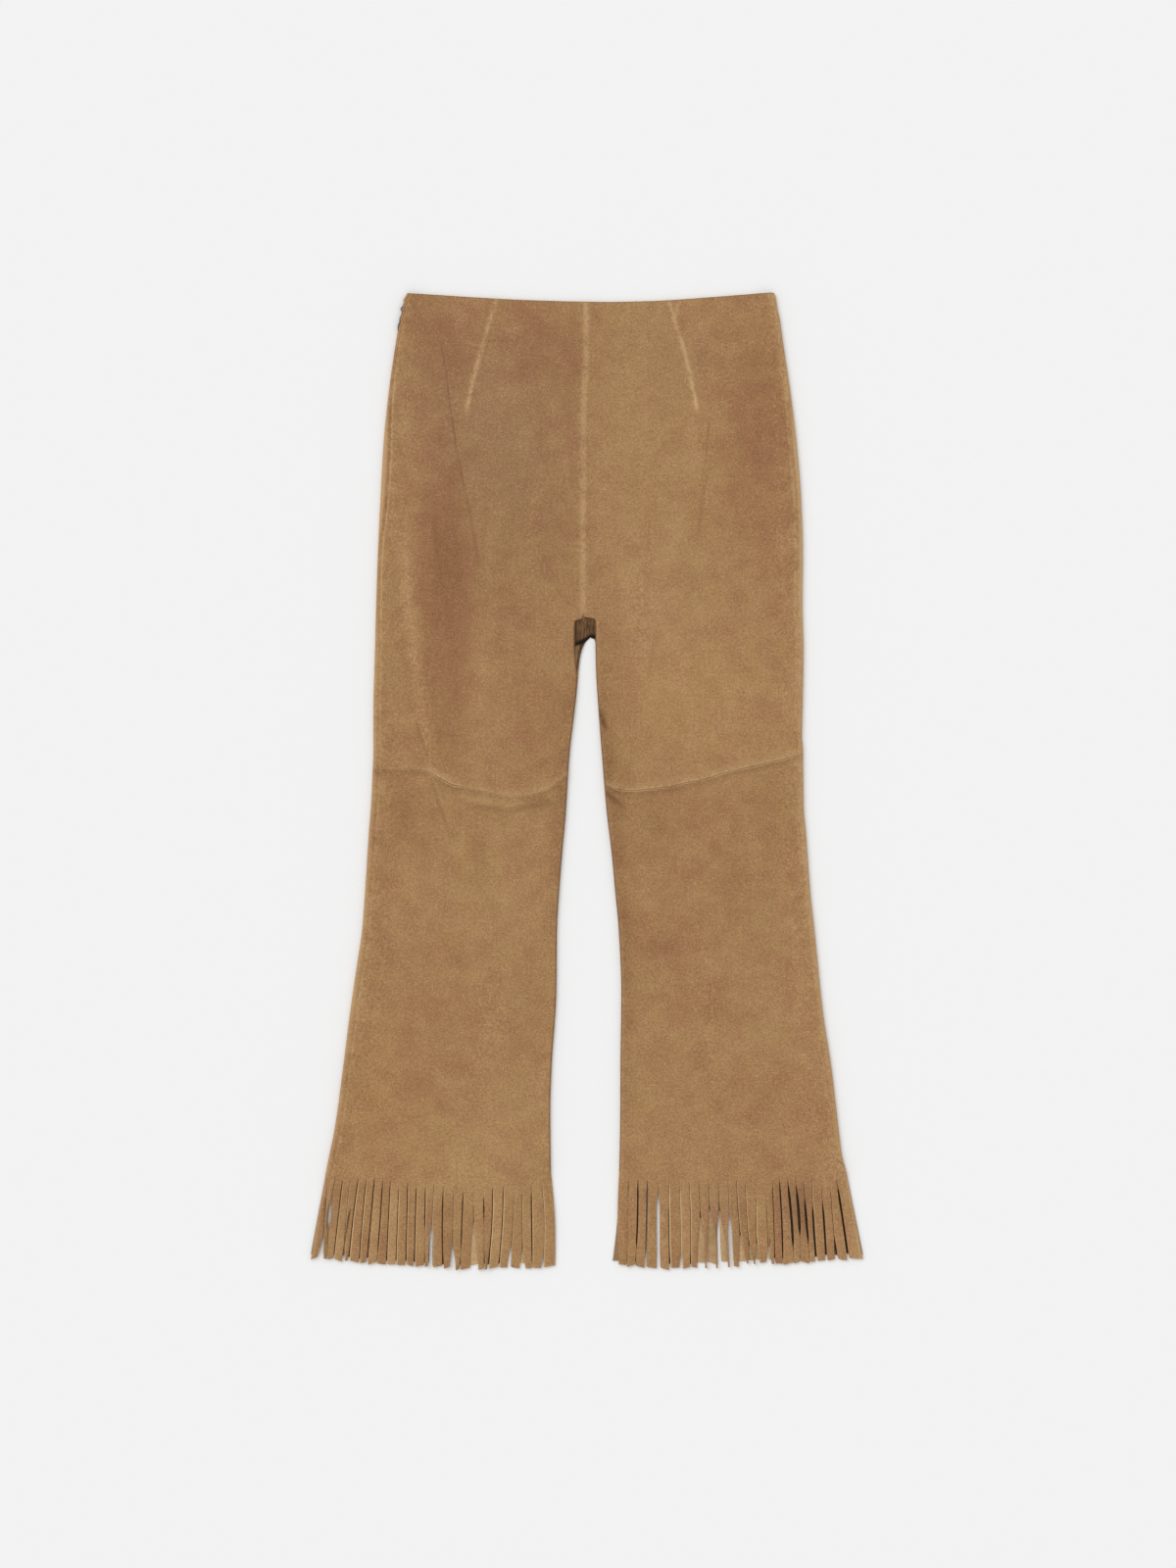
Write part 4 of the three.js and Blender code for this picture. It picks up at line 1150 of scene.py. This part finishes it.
    off_knee = calc("ABSOLUTE", calc("MULTIPLY_ADD", cloud, 3.5, knee))
    worn_ridges_and_fold_light = chain(
        "MAXIMUM",
        ridge(inner, 5.2, centre_worn, 0.06),
        ridge(calc("SUBTRACT", outer, 0.6), 2.4, side_wear_and_fold_light),
        ridge(dart, 4.2, dart_worn, 0.25, 0.3),
        ridge(calc("SUBTRACT", off_knee, 0.9), 1.0, knee_rubbed),
        chain("MULTIPLY", remap(knee, -10, -1.5), remap(knee, -1, 0, 1, 0), 0.22, knee_rubbed),
        # Painted light on the lap round the side fold, stronger where the side seam is rubbed
        calc("MULTIPLY", remap(outer, -1.5, -5.0), calc("MULTIPLY_ADD", side_wear_and_fold_light, 0.9, 0.1)),
    )
    colour = mix(worn_ridges_and_fold_light, colour, paint["pale"])

    # Dark lines: the knee seam's joint, and painted shade under the knee seam, in the creases, along the
    # waist's edge and along the legs' inner edges
    in_knee = chain("MULTIPLY", remap(off_knee, 0.1, 0.7, 0.75, 0.0), knee_rubbed, uneven)
    below_knee = chain("MULTIPLY", remap(knee, 10, 0.5), remap(knee, 0, 1), 0.25)
    crease_shade = remap(calc("ABSOLUTE", calc("MULTIPLY_ADD", wiggle, 0.5, crease)), 0.05, 1.05, 1.0, 0.0)
    crease_shade = chain("MULTIPLY", crease_shade, uneven, crease_depth, 1.5)
    at_waist = remap(waist, 1.1, 0.2, 0.0, 0.5)
    at_rim = calc("MULTIPLY", remap(inner, 2.0, 0.3, 0.0, 0.7), rim)
    lines = chain("MAXIMUM", in_knee, below_knee, crease_shade, at_waist, at_rim)
    colour = mix(lines, colour, paint["deep"])

    fibres = weigh((nap, 1.2), (grain, 1.0), (streak, 0.8))
    colour = mix(flesh_side, colour, mix(remap(fibres, -0.3, 0.3), paint["flesh"], paint["flesh_pale"]))
    colour = mix(cut, colour, paint["cut"])
    folds = noise(add(tree, "ShaderNodeMapping", {0: place, "Scale": (1.0, 0.2, 1.0)}).outputs[0], 1.6, 2)
    brown = mix(remap(folds, -0.25, 0.25), paint["shaded"], paint["shaded_pale"])
    colour = mix(remap(shade, 0.1, 0.7), colour, brown)
    colour = mix(remap(shade, 1.0, 1.75), colour, paint["darkest"])
    tree.links.new(colour, shader.inputs["Base Color"])

    height = weigh((nap, 0.55), (grain, 0.5), (worn_ridges_and_fold_light, 0.45), (crease_shade, -0.9), (in_knee, -0.7))
    bump = add(tree, "ShaderNodeBump", {"Height": height, "Distance": 0.6 * MM, "Strength": 0.6})
    tree.links.new(bump.outputs[0], shader.inputs["Normal"])
    return material


# Places of the grids' columns, as the walls' u, and of their rows, as drops
USUAL_WIDTH = 200
TURN_COLUMNS = -np.linspace(1, 0, 8)[:-1]
FRONT_COLUMNS = np.concatenate([TURN_COLUMNS, steps(0, USUAL_WIDTH, 2.4, 7, 8) / USUAL_WIDTH])
FOLD_COLUMNS = np.concatenate([np.linspace(1, 2, 11)[1:], np.linspace(2, 3, 5)[1:]])
BACK_COLUMNS = np.concatenate([TURN_COLUMNS, steps(0, USUAL_WIDTH, 5, 22) / USUAL_WIDTH, FOLD_COLUMNS])
FRONT_FORK_ROWS = np.concatenate([steps(312, 316.4, 1.1), steps(316.8, 324, 0.45), steps(325, 335, 1.2)])
UPPER_FRONT = np.concatenate([steps(0, 310, 2.4, 42), FRONT_FORK_ROWS, steps(337, KNEE, 2.4, 0, 8)])
UPPER_BACK = np.concatenate([steps(0, 306, 6, 42), steps(310, 360, 1), steps(364, KNEE, 5, 0, 6)])
LOWER_FRONT = steps(KNEE, HEM, 2.4, 8, 0)
LOWER_BACK = steps(KNEE, HEM, 5, 6, 0)

napped = split_suede("napped_split_suede")
fringe_suede = split_suede("cut_split_suede")

for leg in SIDES:
    for layer, wall, u, upper, lower in (
        ("front", front_wall, FRONT_COLUMNS, UPPER_FRONT, LOWER_FRONT),
        ("back", back_wall, BACK_COLUMNS, UPPER_BACK, LOWER_BACK),
    ):
        strands = fringe(f"strands_{layer}_{leg}", leg, layer)
        strands.data.materials.append(fringe_suede)
        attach(strands, "root")
        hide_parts(f"fringe_{layer}_{leg}")
        for part, levels, drop_at in (("upper", upper, upper_drop), ("lower", lower, lower_drop)):
            node = f"{layer}_{leg}_{part}"
            cloth, cut, area = panel(f"suede_{node}", leg, layer, wall, u, levels, drop_at)
            cloth.data.materials.append(napped)
            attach(cloth, "root")
            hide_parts(node)

zip_tape = zip_edge("concealed_zip")
zip_tape.data.materials.append(plain("zip_tape_polyester", "#43363A", 0.8, 0.2))
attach(zip_tape, "root")
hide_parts("side_zip")

# Camera: straight down, as the photograph looks on to the garment
MM_PER_PIXEL = 0.96
IMAGE_HEIGHT = 1600
SENSOR = 36
LENS = 110
VIEW_CENTRE = (1.6, -2.9)
camera_data = bpy.data.cameras.new("camera")
camera_data.sensor_width = SENSOR
camera_data.lens = LENS
camera_data.clip_end = 100
camera = bpy.data.objects.new("camera", camera_data)
distance = IMAGE_HEIGHT * MM_PER_PIXEL * LENS / SENSOR
camera.location = (VIEW_CENTRE[0] * MM, VIEW_CENTRE[1] * MM, distance * MM)
bpy.context.scene.collection.objects.link(camera)
bpy.context.scene.camera = camera

FLOOR_REACH = 15  # metres each way


def pale_floor():
    """A matt, pale studio surface."""
    mesh = bpy.data.meshes.new("floor")
    corners = np.array([(-1, -1, 0), (1, -1, 0), (1, 1, 0), (-1, 1, 0)]) * FLOOR_REACH
    mesh.from_pydata(corners.tolist(), [], [(0, 1, 2, 3)])
    mesh.materials.append(plain("studio_card", "#F4F4F4", 1.0, 0.0))
    floor = bpy.data.objects.new("floor", mesh)
    bpy.context.scene.collection.objects.link(floor)


def soft_light():
    """An even white surround and one broad, soft key from the upper left."""
    world = bpy.data.worlds.new("studio")
    world.use_nodes = True
    background = world.node_tree.nodes["Background"]
    background.inputs["Color"].default_value = (1, 1, 1, 1)
    background.inputs["Strength"].default_value = 0.775
    bpy.context.scene.world = world
    key = bpy.data.lights.new("key", "SUN")
    key.energy = 0.9
    key.angle = math.radians(40)
    lamp = bpy.data.objects.new("key", key)
    lamp.rotation_euler = (math.radians(-28), math.radians(-34), 0)
    bpy.context.scene.collection.objects.link(lamp)
    bpy.context.scene.view_settings.view_transform = "Standard"


pale_floor()
soft_light()
